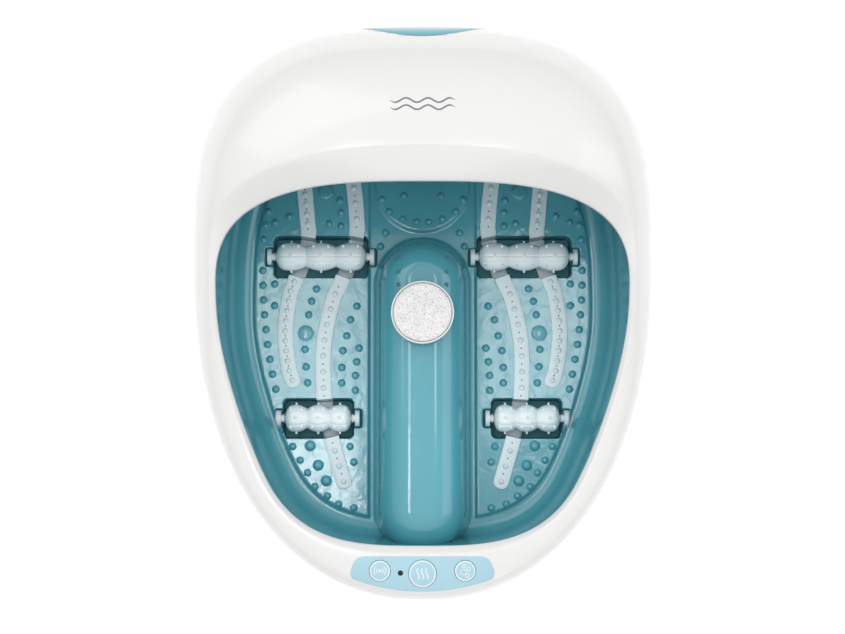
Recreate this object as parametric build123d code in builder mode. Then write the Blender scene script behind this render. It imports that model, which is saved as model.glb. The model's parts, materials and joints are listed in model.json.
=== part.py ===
"""Foot spa basin: a tub with two foot beds under a hooded cover, on a tapered housing.

Millimetres. +X is the right foot, +Y points from the control panel to the hood, +Z is up.
The origin is on the table under the middle of the bounding box.
"""

from math import cos, exp, pi, radians, sin, tan
import os

from build123d import *

# ---------------------------------------------------------------- driving dimensions
body_half_width = 178.0
body_front_reach = 260.0  # from the widest line to the front
body_back_reach = 180.0
body_centre_y = 40.0  # the widest line of the outside
base_z = 5.0  # underside of the base plate, on 5 mm feet
base_inset = 36.0  # how far the bottom edge stands in from the widest outline
flare_height = 105.0  # height over which the housing flares out
housing_wall = 2.8
cover_wall = 2.6
seam_centre_z = 102.0
seam_slope = 0.082
seam_gap = 0.6

opening_half_width = 157.5
opening_front_reach = 187.5
opening_back_reach = 81.5
opening_centre_y = 10.0
opening_waist = 0.125
lip_low_z = 112.0
lip_climb = 78.0
lip_depth = 4.2

tub_wall = 2.5
floor_z = 44.0
tub_section_z = 135.0  # height of the tub's upper outline
tub_floor_radius = 10.0
foot_sink = 0.8  # how far the wall's foot is buried in the floor slab
floor_inset = 3.5  # how far the floor slab's edge stands in from the wall's inner face
bed_height = 3.0
bed_z = floor_z + bed_height
bed_inner_x = 43.0
tub_back_rim_z = 132.0
rim_gap = 1.2
flange_width = 3.0
flange_thickness = 2.2

ridge_top_z = 94.0
ridge_base_radius = 39.0
ridge_front_y = -150.0
ridge_back_y = 30.0
ridge_draft = 11.0
ridge_round = 24.0

axle_z = 48.0
axle_radius = 2.5
bore_radius = 2.56
recess_floor_z = 32.0
notch_length = 6.8
notch_width = 14.5
notch_floor_z = 41.2
pin_height = 1.8

strip_width = 12.5
strip_thickness = 1.4

pumice_y = 2.0
cup_radius = 24.5
stem_radius = 6.0
stem_gap = 0.3
bush_top_z = ridge_top_z + 1.5
stem_low_z = 66.0

panel_y = -198.5
panel_z = 114.6
panel_tilt = 7.0
panel_depth = 1.2
button_travel = 1.0
button_gap = 0.3

hand_half_width = 52.0
hand_low_z = 86.0
hand_shoulder_z = 126.0
hand_top_z = 158.0
hand_front_y = 184.0
hand_wall = 2.0
grip_low_z = 128.0
grip_height = 14.0
grip_back_y = 219.15

gland_x = 60.0
gland_z = 25.0
gland_radius = 6.0
post_spots = [(-100, 105), (100, 105), (-125, 0), (125, 0), (-75, -128), (75, -128)]

blower_y = -85.0
manifold_low_z = 33.5
shaker_y = 112.0
shaker_z = 21.5

os.makedirs("parts", exist_ok=True)


# ---------------------------------------------------------------- outlines and heights
def egg_point(angle, half_width, front, back, centre_y, front_power, back_power, waist=0.0):
    """A point of a superellipse egg: its own reach and power in front and behind, with a waisted front."""
    c, s = cos(radians(angle)), sin(radians(angle))
    reach, power = (back, back_power) if s >= 0 else (front, front_power)
    radius = (abs(c / half_width) ** power + abs(s / reach) ** power) ** (-1 / power)
    x, y = radius * c, radius * s
    t = min(1.0, abs(y) / reach / 0.75) if y < 0 else 0.0
    return x * (1 - waist * (3 * t**2 - 2 * t**3)), y + centre_y


def body_point(angle, inset=0.0):
    front, back = body_front_reach - inset, body_back_reach - inset
    return egg_point(angle, body_half_width - inset, front, back, body_centre_y, 2.2, 3.0)


def opening_point(angle):
    front, back = opening_front_reach, opening_back_reach
    return egg_point(angle, opening_half_width, front, back, opening_centre_y, 3.2, 3.0, opening_waist)


def tub_point(angle, z, grow=0.0):
    """Inside face of the tub at height z, moved out by grow."""
    up = (z - floor_z) / (tub_section_z - floor_z)
    half_width = 147.0 + 14.2 * up + grow
    front = 181.0 + 13.6 * up + grow
    back = 160.0 + 2.0 * up + grow
    return egg_point(angle, half_width, front, back, opening_centre_y, 3.2, 3.0, opening_waist)


def bed_point(angle):
    return egg_point(angle, 136.0, 168.0, 150.0, opening_centre_y, 3.2, 3.0, opening_waist)


def housing_inset(z):
    return base_inset * max(0.0, 1 - (z - base_z) / flare_height) ** 2


def seam_z(y):
    return seam_centre_z + seam_slope * y


def hood_rise(y):
    """0 at the front of the opening, 1 at the hood's lip."""
    return max(0.0, (y + 150.0) / (opening_centre_y + opening_back_reach + 150.0))


def lip_z(y):
    return lip_low_z + lip_climb * hood_rise(y) ** 3


def outline_sketch(point, steps=40):
    """The area inside the closed curve through point(angle)."""
    with BuildSketch(mode=Mode.PRIVATE) as area:
        with BuildLine():
            Spline(*[point(360 * k / steps) for k in range(steps)], periodic=True)
        make_face()
    return area.sketch


def ring_through(sections):
    """A closed ring: half of it lofted through (plane, profile) sections, then its mirror image in X."""
    with BuildPart(mode=Mode.PRIVATE) as half:
        for plane, profile in sections:
            with BuildSketch(plane):
                add(profile)
        loft()
    with BuildPart(mode=Mode.PRIVATE) as ring:
        add(half.part)
        add(half.part.mirror(Plane.YZ))
    return ring.part


def inward_plane(start, towards):
    """A vertical plane at start whose x runs to the second point and whose y is up, and their distance."""
    way = Vector(towards[0] - start[0], towards[1] - start[1])
    unit = way.normalized()
    plane = Plane(origin=(start[0], start[1], 0), x_dir=(unit.X, unit.Y, 0), z_dir=(unit.Y, -unit.X, 0))
    return plane, way.length


def save(part, name):
    part.label = name
    export_step(part, f"parts/{name}.step")


# ---------------------------------------------------------------- cover: rim and hood in one moulding
def rim_section(angle, sink, wall):
    """One cross-section of the cover between sink and wall below its outer face."""
    opening_x, opening_y = opening_point(angle)
    plane, width = inward_plane(body_point(angle), (opening_x, opening_y))
    rise = hood_rise(opening_y)
    fascia = 6.0 + 17.5 * rise**6
    crest_z = lip_z(opening_y) + 3.0 + 15.0 * rise**6
    low_z = seam_z(body_point(angle)[1])
    power = 2.3 + 1.7 * max(0.0, -sin(radians(angle))) ** 4
    steps = 8
    curve = []
    for k in range(steps + 1):
        a = radians(90 * k / steps)
        across = (width - fascia) * (1 - max(0.0, cos(a)) ** (2 / power))
        z = low_z + (crest_z - low_z) * sin(a) ** (2 / power)
        curve.append(Vector(across + housing_inset(z), z))

    def shifted(by):
        moved = [Vector(curve[0].X + by, curve[0].Y)]
        for k in range(1, steps):
            way = (curve[k + 1] - curve[k - 1]).normalized()
            moved.append(Vector(curve[k].X + way.Y * by, curve[k].Y - way.X * by))
        return moved + [Vector(curve[steps].X, curve[steps].Y - by)]

    outer, inner = shifted(sink), shifted(wall)
    lip_top, lip_low = lip_z(opening_y) - sink, lip_z(opening_y) - lip_depth
    with BuildSketch(mode=Mode.PRIVATE) as area:
        with BuildLine():
            Spline(*outer)
            Polyline(outer[-1], (width - sink, lip_top), (width - sink, lip_low))
            Polyline((width - sink, lip_low), (width - wall, lip_low), inner[-1])
            Spline(*inner)
            Line(inner[0], outer[0])
        make_face()
    return plane, area.sketch


rim_angles = [-90, -75, -60, -45, -30, -15, 0, 12, 24, 36, 48, 60, 75, 90]


def rim_ring(sink=0.0, wall=cover_wall, count=14):
    return ring_through([rim_section(angle, sink, wall) for angle in rim_angles[:count]])


panel_plane = Plane(
    origin=(0, panel_y, panel_z),
    x_dir=(1, 0, 0),
    z_dir=(0, -sin(radians(panel_tilt)), cos(radians(panel_tilt))),
)
button_spots = {"massage": (-32.5, 2.0, 8.0), "heat": (0.0, -0.2, 10.5), "bubbles": (32.5, 2.0, 8.0)}
lamp_spot = (-16.8, 0.4)
lamp_radius = 2.0
button_flange = -6.2  # top of the buttons' collars under the panel plane
board_top = -12.4  # top of the circuit board under the panel plane
board_boss_x = 47.0


def panel_outline(shrink=0.0):
    """The panel's outline, straight above and bowed below."""
    half, top, low_side, bottom = 57.0 - shrink, 13.2 - shrink, -3.0 + shrink, -14.2 + shrink
    with BuildSketch(mode=Mode.PRIVATE) as area:
        with BuildLine():
            Polyline((-half, low_side), (-half + 6, top), (half - 6, top), (half, low_side))
            ThreePointArc((half, low_side), (0, bottom), (-half, low_side))
        make_face()
        fillet(area.vertices(), 6.0 - shrink)
    return area.sketch


def panel_skin(shrink, sink, wall):
    """A piece of the cover's surface inside the panel's outline, from sink to wall below the outer face."""
    with BuildPart(mode=Mode.PRIVATE) as skin:
        with BuildSketch(panel_plane):
            add(panel_outline(shrink))
        extrude(amount=12, both=True)
        add(rim_ring(sink, wall, 4), mode=Mode.INTERSECT)
    return skin.part


def hand_recess(grow):
    """The arched outline of the hand recess in the back, seen from behind."""
    half = hand_half_width + grow
    with BuildSketch(mode=Mode.PRIVATE) as area:
        with BuildLine():
            Polyline((half, hand_shoulder_z), (half, hand_low_z - grow), (-half, hand_low_z - grow))
            Line((-half, hand_low_z - grow), (-half, hand_shoulder_z))
            ThreePointArc((-half, hand_shoulder_z), (0, hand_top_z + grow), (half, hand_shoulder_z))
        make_face()
        fillet(area.vertices().group_by(Axis.Y)[0], 8.0 + grow)
    return area.sketch


def hand_prism(grow, from_y, to_y):
    with BuildPart(mode=Mode.PRIVATE) as prism:
        with BuildSketch(Plane.XZ.offset(-to_y)):
            add(hand_recess(grow))
        extrude(amount=to_y - from_y)
    return prism.part


with BuildPart() as top_cover:
    add(rim_ring())
    add(hand_prism(hand_wall + 0.2, hand_front_y - hand_wall - 0.2, 260), mode=Mode.SUBTRACT)
    for side in (-1, 1):
        with Locations(panel_plane.location * Location((side * board_boss_x, -2, board_top))):
            Cylinder(2.6, -board_top - 1.9, align=(Align.CENTER, Align.CENTER, Align.MIN))
    add(panel_skin(0.0, -1.0, panel_depth), mode=Mode.SUBTRACT)
    for x, y, radius in button_spots.values():
        with Locations(panel_plane.location * Location((x, y, 0))):
            Cylinder(radius + button_gap, 16, mode=Mode.SUBTRACT)
    with Locations(panel_plane.location * Location((*lamp_spot, 0))):
        Cylinder(lamp_radius + 0.1, 16, mode=Mode.SUBTRACT)
save(top_cover.part, "top_cover")

with BuildPart() as control_panel_overlay:
    add(panel_skin(0.25, 0.0, panel_depth - 0.1))
    for x, y, radius in button_spots.values():
        with Locations(panel_plane.location * Location((x, y, 0))):
            Cylinder(radius + button_gap, 16, mode=Mode.SUBTRACT)
    with Locations(panel_plane.location * Location((*lamp_spot, 0))):
        Cylinder(lamp_radius + 0.1, 16, mode=Mode.SUBTRACT)
save(control_panel_overlay.part, "control_panel_overlay")

# ---------------------------------------------------------------- buttons, lamp and their board
cap_layer = rim_ring(-0.5, 3.5, 4)
for button_name, (x, y, radius) in button_spots.items():
    with BuildPart() as button:
        with Locations(panel_plane.location * Location((x, y, 0))):
            Cylinder(radius, 16)
        add(cap_layer, mode=Mode.INTERSECT)
        with Locations(panel_plane.location * Location((x, y, button_flange))):
            Cylinder(radius + 1.2, 1.2, align=(Align.CENTER, Align.CENTER, Align.MAX))
            Cylinder(radius - 1.0, -button_flange - 2.0, align=(Align.CENTER, Align.CENTER, Align.MIN))
    save(button.part, f"button_{button_name}")

with BuildPart() as indicator_lens:
    with Locations(panel_plane.location * Location((*lamp_spot, board_top + 3.0))):
        Cylinder(lamp_radius, -board_top - 2.8, align=(Align.CENTER, Align.CENTER, Align.MIN))
save(indicator_lens.part, "indicator_lens")

with BuildPart() as panel_board:
    with BuildSketch(panel_plane.offset(board_top)):
        with Locations((0, -2)):
            Rectangle(2 * board_boss_x + 8, 16)
    extrude(amount=-1.6)
    with Locations(panel_plane.location * Location((*lamp_spot, board_top))):
        Cylinder(2.5, 3.0, align=(Align.CENTER, Align.CENTER, Align.MIN))
save(panel_board.part, "panel_board")

switch_top = button_flange - 1.2 - button_travel - 0.2
for button_name, (x, y, radius) in button_spots.items():
    with BuildPart() as switch:
        with Locations(panel_plane.location * Location((x, y, board_top))):
            Box(6, 6, switch_top - board_top - 0.8, align=(Align.CENTER, Align.CENTER, Align.MIN))
            Cylinder(1.7, switch_top - board_top, align=(Align.CENTER, Align.CENTER, Align.MIN))
    save(switch.part, f"tact_switch_{button_name}")


# ---------------------------------------------------------------- tub
def tub_rim_z(y):
    return min(lip_z(y) - lip_depth - rim_gap, tub_back_rim_z)


def tub_section(angle):
    """One cross-section of the tub's wall, from the floor's edge up to the flange under the cover's lip."""
    plane, reach = inward_plane(tub_point(angle, tub_section_z), (0, opening_centre_y))

    def at(z, grow=0.0):
        x, y = tub_point(angle, z)
        return Vector(reach - Vector(x, y - opening_centre_y).length - grow, z)

    r = tub_floor_radius
    rim = tub_rim_z(tub_point(angle, 110)[1])
    foot_z = floor_z - foot_sink
    foot = at(floor_z, -r).X
    turn = at(foot_z + r)
    corner = Vector(turn.X + 0.29 * r, foot_z + 0.29 * r)
    with BuildSketch(mode=Mode.PRIVATE) as area:
        with BuildLine():
            Line(at(rim), turn)
            ThreePointArc(turn, corner, (foot, foot_z))
            Polyline((foot, foot_z), (foot + 1, foot_z), (foot + 1, foot_z - 1.2), (foot, foot_z - 1.2))
            ThreePointArc(
                (foot, foot_z - 1.2),
                corner - Vector(0.71 * tub_wall, 0.71 * tub_wall),
                turn - Vector(tub_wall, 0),
            )
            low_edge = at(rim - flange_thickness, tub_wall)
            Polyline(
                turn - Vector(tub_wall, 0),
                low_edge,
                low_edge - Vector(flange_width, 0),
                at(rim, tub_wall + flange_width),
                at(rim),
            )
        make_face()
    return plane, area.sketch


tub_angles = [-90, -78, -66, -54, -42, -28, -14, 0, 14, 28, 42, 54, 66, 78, 90]
wall_lean = 13.6 / 91.0  # how much further out the tub's front wall stands per height


def front_wall_plane(behind):
    """A plane along the tub's front wall, behind its inner face."""
    return Plane(
        origin=(0, tub_point(-90, floor_z)[1] - behind, floor_z),
        x_dir=(1, 0, 0),
        z_dir=(0, 1, wall_lean),
    )


def ridge(shrink):
    """The drafted ridge between the feet, drawn smaller by shrink, running into the front wall."""
    radius = ridge_base_radius - shrink
    top = ridge_top_z - shrink
    with BuildPart(mode=Mode.PRIVATE) as bump:
        with BuildSketch(Plane.XY.offset(floor_z - tub_wall)):
            with Locations((0, (ridge_front_y + ridge_back_y) / 2)):
                SlotCenterToCenter(ridge_back_y - ridge_front_y, 2 * radius, rotation=90)
        extrude(amount=top - floor_z + tub_wall, taper=ridge_draft)
        fillet(bump.faces().sort_by(Axis.Z)[-1].edges(), ridge_round - shrink)
        split(bisect_by=front_wall_plane(1.8 - shrink), keep=Keep.TOP)
    return bump.part


rear_recess = (82.0, 53.0, 76.0, 33.0)
front_recess = (83.6, -77.5, 56.0, 31.0)
recesses = (rear_recess, front_recess)

outer_nodes = [(129 - 0.0012 * (42 - y) ** 2, y) for y in (42, 30, 18, 6, -6, -18, -30, -42, -54)]
toe_nodes = [(125, 90), (127, 79), (128.5, 67), (119.4, 81), (108, 86)]
toe_nodes += [(67, 99), (66, 89), (75.5, 80), (66, 78)]
arch_nodes = [(119.4, 31), (119.4, 13.5), (85.6, 27), (89.5, 17), (91.7, 6)]
arch_nodes += [(94.5, -22), (93.7, -36), (92.3, -49)]
inner_nodes = [(53, 13), (58, 2), (61, -11), (64, -23), (65, -36.5), (65, -49)]
inner_nodes += [(51, -21), (53, -32), (54, -43), (54, -55)]
heel_nodes = [(104, -100), (98, -111), (92, -121), (86, -132), (76, -139.5), (67, -146)]
heel_nodes += [(58, -100), (55, -112.5), (55, -149)]
heel_studs = [(90, -99.5), (83.5, -115), (77, -127.5)]
bed_caps = [(78.5, 106), (94, -9)]
bed_nodes = outer_nodes + toe_nodes + arch_nodes + inner_nodes + heel_nodes
disc_nodes = [(33, 100), (27, 90), (16, 84), (5, 81.5), (15, 103)]
gap_nodes = [(30, 73), (34, 62)]


def both_sides(points):
    return [(x, y) for x, y in points] + [(-x, y) for x, y in points]


def raised(points, height, low_radius, top_radius, rise):
    """Blunt massage nodes standing on the given height."""
    with BuildPart(mode=Mode.PRIVATE) as nodes:
        with Locations(*[(x, y, height - 0.3) for x, y in both_sides(points)]):
            Cone(low_radius, top_radius, rise + 0.3, align=(Align.CENTER, Align.CENTER, Align.MIN))
    return nodes.part


with BuildPart() as basin:
    with BuildSketch(Plane.XY.offset(floor_z - tub_wall)):
        add(outline_sketch(lambda angle: tub_point(angle, floor_z, -floor_inset)))
    extrude(amount=tub_wall)
    for x, y, length, width in recesses:
        for side in (-1, 1):
            with BuildSketch(Plane.XY.offset(recess_floor_z - tub_wall)):
                with Locations((side * x, y)):
                    Rectangle(length + 2 * notch_length + 4, width + 4)
            extrude(amount=floor_z - recess_floor_z)
    with BuildSketch(Plane.XY.offset(floor_z)):
        add(outline_sketch(bed_point))
        Rectangle(2 * bed_inner_x, 500, mode=Mode.SUBTRACT)
    extrude(amount=bed_height)
    with BuildSketch(Plane.XY.offset(floor_z)):
        with Locations((0, 112)):
            Circle(38)
    extrude(amount=2)
    add(ridge(0.0))
    add(ring_through([tub_section(angle) for angle in tub_angles]))
    for x, y, length, width in recesses:
        for side in (-1, 1):
            with BuildSketch(Plane.XY.offset(recess_floor_z)):
                with Locations((side * x, y)):
                    RectangleRounded(length, width, 4)
            extrude(amount=20, mode=Mode.SUBTRACT)
            with BuildSketch(Plane.XY.offset(notch_floor_z)):
                with Locations((side * x, y)):
                    Rectangle(length + 2 * notch_length, notch_width)
            extrude(amount=10, mode=Mode.SUBTRACT)
    add(ridge(tub_wall), mode=Mode.SUBTRACT)
    with Locations((0, pumice_y, ridge_top_z)):
        Cylinder(9.1, 12, mode=Mode.SUBTRACT)
    add(raised(bed_nodes, bed_z, 2.6, 1.5, 2.4))
    add(raised(heel_studs, bed_z, 3.8, 2.2, 3.2))
    add(raised(bed_caps, bed_z, 6.2, 5.4, 1.2))
    add(raised(disc_nodes, floor_z + 2, 2.6, 1.5, 2.4))
    add(raised(gap_nodes, floor_z, 2.6, 1.5, 2.4))
save(basin.part, "basin")

# ---------------------------------------------------------------- air strips
outer_line = [
    (96, 112),
    (93.4, 84),
    (92.9, 68.5),
    (101.9, 36.7),
    (107, 22),
    (110.6, -8),
    (107.5, -37),
    (104.3, -47),
]
inner_line = [
    (57, 122),
    (53.5, 88),
    (54, 68.5),
    (64.1, 36.7),
    (72.6, 16.5),
    (79.5, -20),
    (78.7, -64),
    (73.4, -91.3),
    (63, -128),
]


def ribbon(centre_line, low_z, high_z):
    """A round-ended ribbon along a centre line, between two heights."""
    spine = Spline(*centre_line, mode=Mode.PRIVATE)
    half = strip_width / 2
    edges = {1: [], -1: []}
    for k in range(17):
        point, way = spine @ (k / 16), spine % (k / 16)
        for side in edges:
            edges[side].append((point.X - side * half * way.Y, point.Y + side * half * way.X))
    start, end = spine @ 0 - (spine % 0) * half, spine @ 1 + (spine % 1) * half
    with BuildPart(mode=Mode.PRIVATE) as band:
        with BuildSketch(Plane.XY.offset(low_z)):
            with BuildLine():
                Spline(*edges[1])
                ThreePointArc(edges[1][-1], (end.X, end.Y), edges[-1][-1])
                Spline(*edges[-1][::-1])
                ThreePointArc(edges[-1][0], (start.X, start.Y), edges[1][0])
            make_face()
        extrude(amount=high_z - low_z)
    return band.part


def dip(centre_line, recess, side):
    """The piece of a strip that lines the floor and the two long walls of a recess."""
    x, y, length, width = recess
    with BuildPart(mode=Mode.PRIVATE) as piece:
        add(ribbon(centre_line, recess_floor_z, bed_z + strip_thickness))
        for way in (-1, 1):
            with Locations((side * x, y + way * (width / 2 + 150), bed_z)):
                Box(length + 60, 300, 60, mode=Mode.SUBTRACT)
        with Locations((side * x, y, recess_floor_z + strip_thickness)):
            Box(
                length + 60,
                width - 2 * strip_thickness,
                40,
                align=(Align.CENTER, Align.CENTER, Align.MIN),
                mode=Mode.SUBTRACT,
            )
    return piece.part


def air_strip(points, crossed, side):
    """An air strip: a ribbon on the bed that dips through the roller recesses it crosses."""
    centre_line = [(side * x, y) for x, y in points]
    with BuildPart(mode=Mode.PRIVATE) as strip:
        add(ribbon(centre_line, bed_z, bed_z + strip_thickness))
        for x, y, length, width in crossed:
            with Locations((side * x, y, bed_z)):
                Box(length + 60, width, 10, mode=Mode.SUBTRACT)
        for recess in crossed:
            add(dip(centre_line, recess, side))
        spine = Spline(*centre_line, mode=Mode.PRIVATE)
        for k in range(21):
            spot = spine @ (k / 20)
            if all(abs(spot.Y - y) > width / 2 + 2.6 for x, y, length, width in crossed):
                with Locations((spot.X, spot.Y, bed_z + strip_thickness - 0.2)):
                    Cone(2.5, 1.5, 1.6, align=(Align.CENTER, Align.CENTER, Align.MIN))
    return strip.part


strip_lines = {"outer": (outer_line, [rear_recess]), "inner": (inner_line, [rear_recess, front_recess])}
for place, (points, crossed) in strip_lines.items():
    for side_name, side in (("left", -1), ("right", 1)):
        save(air_strip(points, crossed, side), f"air_strip_{place}_{side_name}")


# ---------------------------------------------------------------- massage rollers
def roller_master(length, radius):
    """A three-lobed roller about X at the origin, with rows of short pins and a bore for its axle."""
    lobe = length / 3
    with BuildPart(mode=Mode.PRIVATE) as roller:
        with BuildSketch(Plane.XY):
            with BuildLine():
                for k in range(3):
                    x0 = -length / 2 + k * lobe
                    ThreePointArc((x0, radius - 1.2), (x0 + lobe / 2, radius), (x0 + lobe, radius - 1.2))
                Polyline((length / 2, radius - 1.2), (length / 2, 0), (-length / 2, 0))
                Line((-length / 2, 0), (-length / 2, radius - 1.2))
            make_face()
        revolve(axis=Axis.X)
        for row in range(8):
            spread = (0.25, 0.75) if row % 2 else (0.5,)
            for k in range(3):
                for share in spread:
                    x = -length / 2 + (k + share) * lobe
                    with Locations(Location((x, 0, 0), (45 * row, 0, 0))):
                        with Locations((0, 0, radius - 1.5)):
                            Cylinder(0.8, pin_height + 1.5, align=(Align.CENTER, Align.CENTER, Align.MIN))
        with Locations(Location((0, 0, 0), (0, 90, 0))):
            Cylinder(bore_radius, length + 2, mode=Mode.SUBTRACT)
    return roller.part


def axle_master(length):
    """A fixed axle about X at the origin, with an end block for each notch of the tub."""
    with BuildPart(mode=Mode.PRIVATE) as axle:
        with Locations(Location((0, 0, 0), (0, 90, 0))):
            Cylinder(axle_radius, length + notch_length)
        for side in (-1, 1):
            with BuildSketch(Plane.YZ.offset(side * (length / 2 + notch_length / 2) - 1.7)):
                Circle(notch_width / 2 - 0.8)
                with Locations((0, (notch_floor_z - axle_z) / 2)):
                    Rectangle(notch_width - 1.6, axle_z - notch_floor_z)
            extrude(amount=3.4)
    return axle.part


for place, recess, length, radius in (("rear", rear_recess, 72.0, 11.3), ("front", front_recess, 52.5, 10.9)):
    master, axle = roller_master(length, radius), axle_master(recess[2])
    for side_name, side in (("left", -1), ("right", 1)):
        with BuildPart() as roller:
            add(master.moved(Location((side * recess[0], recess[1], axle_z))))
        save(roller.part, f"roller_{place}_{side_name}")
        with BuildPart() as roller_axle:
            add(axle.moved(Location((side * recess[0], recess[1], axle_z))))
        save(roller_axle.part, f"roller_axle_{place}_{side_name}")

# ---------------------------------------------------------------- pedicure attachment
with BuildPart() as pedicure_socket:
    with Locations((0, pumice_y, stem_low_z - 4)):
        Cylinder(9.0, bush_top_z - stem_low_z + 4, align=(Align.CENTER, Align.CENTER, Align.MIN))
    with Locations((0, pumice_y, ridge_top_z)):
        Cylinder(12.0, bush_top_z - ridge_top_z, align=(Align.CENTER, Align.CENTER, Align.MIN))
    with Locations((0, pumice_y, stem_low_z - 1)):
        socket_radius = stem_radius + stem_gap
        Cylinder(socket_radius, 60, align=(Align.CENTER, Align.CENTER, Align.MIN), mode=Mode.SUBTRACT)
save(pedicure_socket.part, "pedicure_socket")

with BuildPart() as pumice_holder:
    with BuildSketch(Plane.XZ.offset(-pumice_y)):
        with BuildLine():
            Polyline(
                (0, stem_low_z),
                (stem_radius, stem_low_z),
                (stem_radius, bush_top_z),
                (10.5, bush_top_z),
                (10.5, bush_top_z + 2.0),
                (20.0, bush_top_z + 4.5),
            )
            ThreePointArc((20, bush_top_z + 4.5), (23.3, bush_top_z + 6.4), (cup_radius, bush_top_z + 10))
            Polyline(
                (cup_radius, bush_top_z + 10),
                (cup_radius, bush_top_z + 15),
                (cup_radius - 1.6, bush_top_z + 15),
                (cup_radius - 1.6, bush_top_z + 7.5),
                (0, bush_top_z + 7.5),
                (0, stem_low_z),
            )
        make_face()
    revolve(axis=Axis((0, pumice_y, 0), (0, 0, 1)))
save(pumice_holder.part, "pumice_holder")

with BuildPart() as pumice_stone:
    with Locations((0, pumice_y, bush_top_z + 7.5)):
        Cylinder(cup_radius - 1.7, 9.5, align=(Align.CENTER, Align.CENTER, Align.MIN))
    fillet(pumice_stone.edges().group_by(Axis.Z)[-1], 1.8)
save(pumice_stone.part, "pumice_stone")

# ---------------------------------------------------------------- carry handle in the back
with BuildPart() as carry_handle:
    add(hand_prism(hand_wall, hand_front_y - hand_wall, 225))
    add(hand_prism(0.0, hand_front_y, 230), mode=Mode.SUBTRACT)
    with BuildSketch(Plane.YZ.offset(-70)):
        with BuildLine():
            Polyline((170, 75), (213.6, 75), (215.2, 105), (215.2, 124))
            Polyline((215.2, 124), (213.2, 140), (209.4, 157), (207.6, 163), (170, 163), (170, 75))
        make_face()
    extrude(amount=140, mode=Mode.INTERSECT)
    with BuildPart(mode=Mode.PRIVATE) as grip:
        with BuildSketch(Plane.XY.offset(grip_low_z)):
            with BuildLine():
                ThreePointArc((-53, 214.3), (0, grip_back_y), (53, 214.3))
                Line((53, 214.3), (53, 201))
                ThreePointArc((53, 201), (0, 205.5), (-53, 201))
                Line((-53, 201), (-53, 214.3))
            make_face()
        extrude(amount=grip_height)
        fillet(grip.edges().filter_by(GeomType.CIRCLE), 4.5)
    add(grip.part)
save(carry_handle.part, "carry_handle")


# ---------------------------------------------------------------- lower housing and base
def inset_point(angle, inset):
    """A point of the outside outline moved in along the direction of the rim's cross-section."""
    plane, width = inward_plane(body_point(angle), opening_point(angle))
    moved = Vector(*body_point(angle)) + plane.x_dir * inset
    return moved.X, moved.Y


def housing_section(angle):
    """One cross-section of the lower housing, with the ledge that the base plate is screwed to."""
    plane, width = inward_plane(body_point(angle), opening_point(angle))
    top = seam_z(body_point(angle)[1]) - seam_gap
    ledge_low, ledge_high = base_z + 2.5, base_z + 5.0
    rows = [base_z + (top - base_z) * share for share in (0, 0.15, 0.35, 0.6, 0.8, 1)]
    inner_rows = [ledge_high + (top - ledge_high) * share for share in (1, 0.8, 0.6, 0.35, 0.15, 0)]
    wall = housing_wall
    shelf = housing_inset(ledge_high) + wall + 12.0
    with BuildSketch(mode=Mode.PRIVATE) as area:
        with BuildLine():
            Spline(*[(housing_inset(z), z) for z in rows])
            Line((housing_inset(top), top), (housing_inset(top) + wall, top))
            Spline(*[(housing_inset(z) + wall, z) for z in inner_rows])
            Polyline(
                (housing_inset(ledge_high) + wall, ledge_high),
                (shelf, ledge_high),
                (shelf, ledge_low),
                (housing_inset(base_z) + wall, ledge_low),
                (housing_inset(base_z) + wall, base_z),
                (housing_inset(base_z), base_z),
            )
        make_face()
    return plane, area.sketch


screw_spots = [inset_point(angle, 44.5) for angle in (35, 145, -106, -74)]
foot_spots = {
    "rear_left": (-100, 125),
    "rear_right": (100, 125),
    "front_left": (-78, -115),
    "front_right": (78, -115),
}

with BuildPart() as lower_housing:
    add(ring_through([housing_section(angle) for angle in rim_angles]))
    add(hand_prism(hand_wall + 0.2, hand_front_y - hand_wall - 0.2, 260), mode=Mode.SUBTRACT)
    with Locations(Location((gland_x, 190, gland_z), (90, 0, 0))):
        Cylinder(gland_radius + 0.1, 40, mode=Mode.SUBTRACT)
    with Locations(*[(x, y, base_z + 3) for x, y in screw_spots]):
        Cylinder(2.1, 8, mode=Mode.SUBTRACT)
save(lower_housing.part, "lower_housing")

with BuildPart() as base_plate:
    with BuildSketch(Plane.XY.offset(base_z)):
        add(outline_sketch(lambda angle: inset_point(angle, base_inset + housing_wall + 1.5)))
    extrude(amount=2.5)
    with BuildSketch(Plane.XY.offset(base_z + 2.5)):
        with Locations(*post_spots):
            Circle(6)
    extrude(amount=floor_z - tub_wall - base_z - 2.5)
    with Locations(*[(x, y, base_z) for x, y in screw_spots]):
        Cylinder(2.1, 8, mode=Mode.SUBTRACT)
        Cylinder(4.0, 3.2, mode=Mode.SUBTRACT)
save(base_plate.part, "base_plate")

for k, (x, y) in enumerate(screw_spots):
    with BuildPart() as housing_screw:
        with Locations((x, y, base_z + 0.1)):
            Cylinder(3.7, 1.5, align=(Align.CENTER, Align.CENTER, Align.MIN))
            Cylinder(2.0, 4.8, align=(Align.CENTER, Align.CENTER, Align.MIN))
            Box(5, 0.9, 1.6, mode=Mode.SUBTRACT)
            Box(0.9, 5, 1.6, mode=Mode.SUBTRACT)
    save(housing_screw.part, f"housing_screw_{k + 1}")

for foot_name, (x, y) in foot_spots.items():
    with BuildPart() as foot:
        with Locations((x, y, 0)):
            Cone(9.5, 11, base_z, align=(Align.CENTER, Align.CENTER, Align.MIN))
    save(foot.part, f"foot_{foot_name}")

with BuildPart() as cord_gland:
    with Locations(Location((gland_x, 192, gland_z), (90, 0, 0))):
        Cylinder(gland_radius, 22)
    with Locations(Location((gland_x, 183, gland_z), (90, 0, 0))):
        Cylinder(gland_radius + 2, 4)
    with Locations(Location((gland_x, 192, gland_z), (90, 0, 0))):
        Cylinder(3.4, 40, mode=Mode.SUBTRACT)
save(cord_gland.part, "cord_gland")

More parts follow.
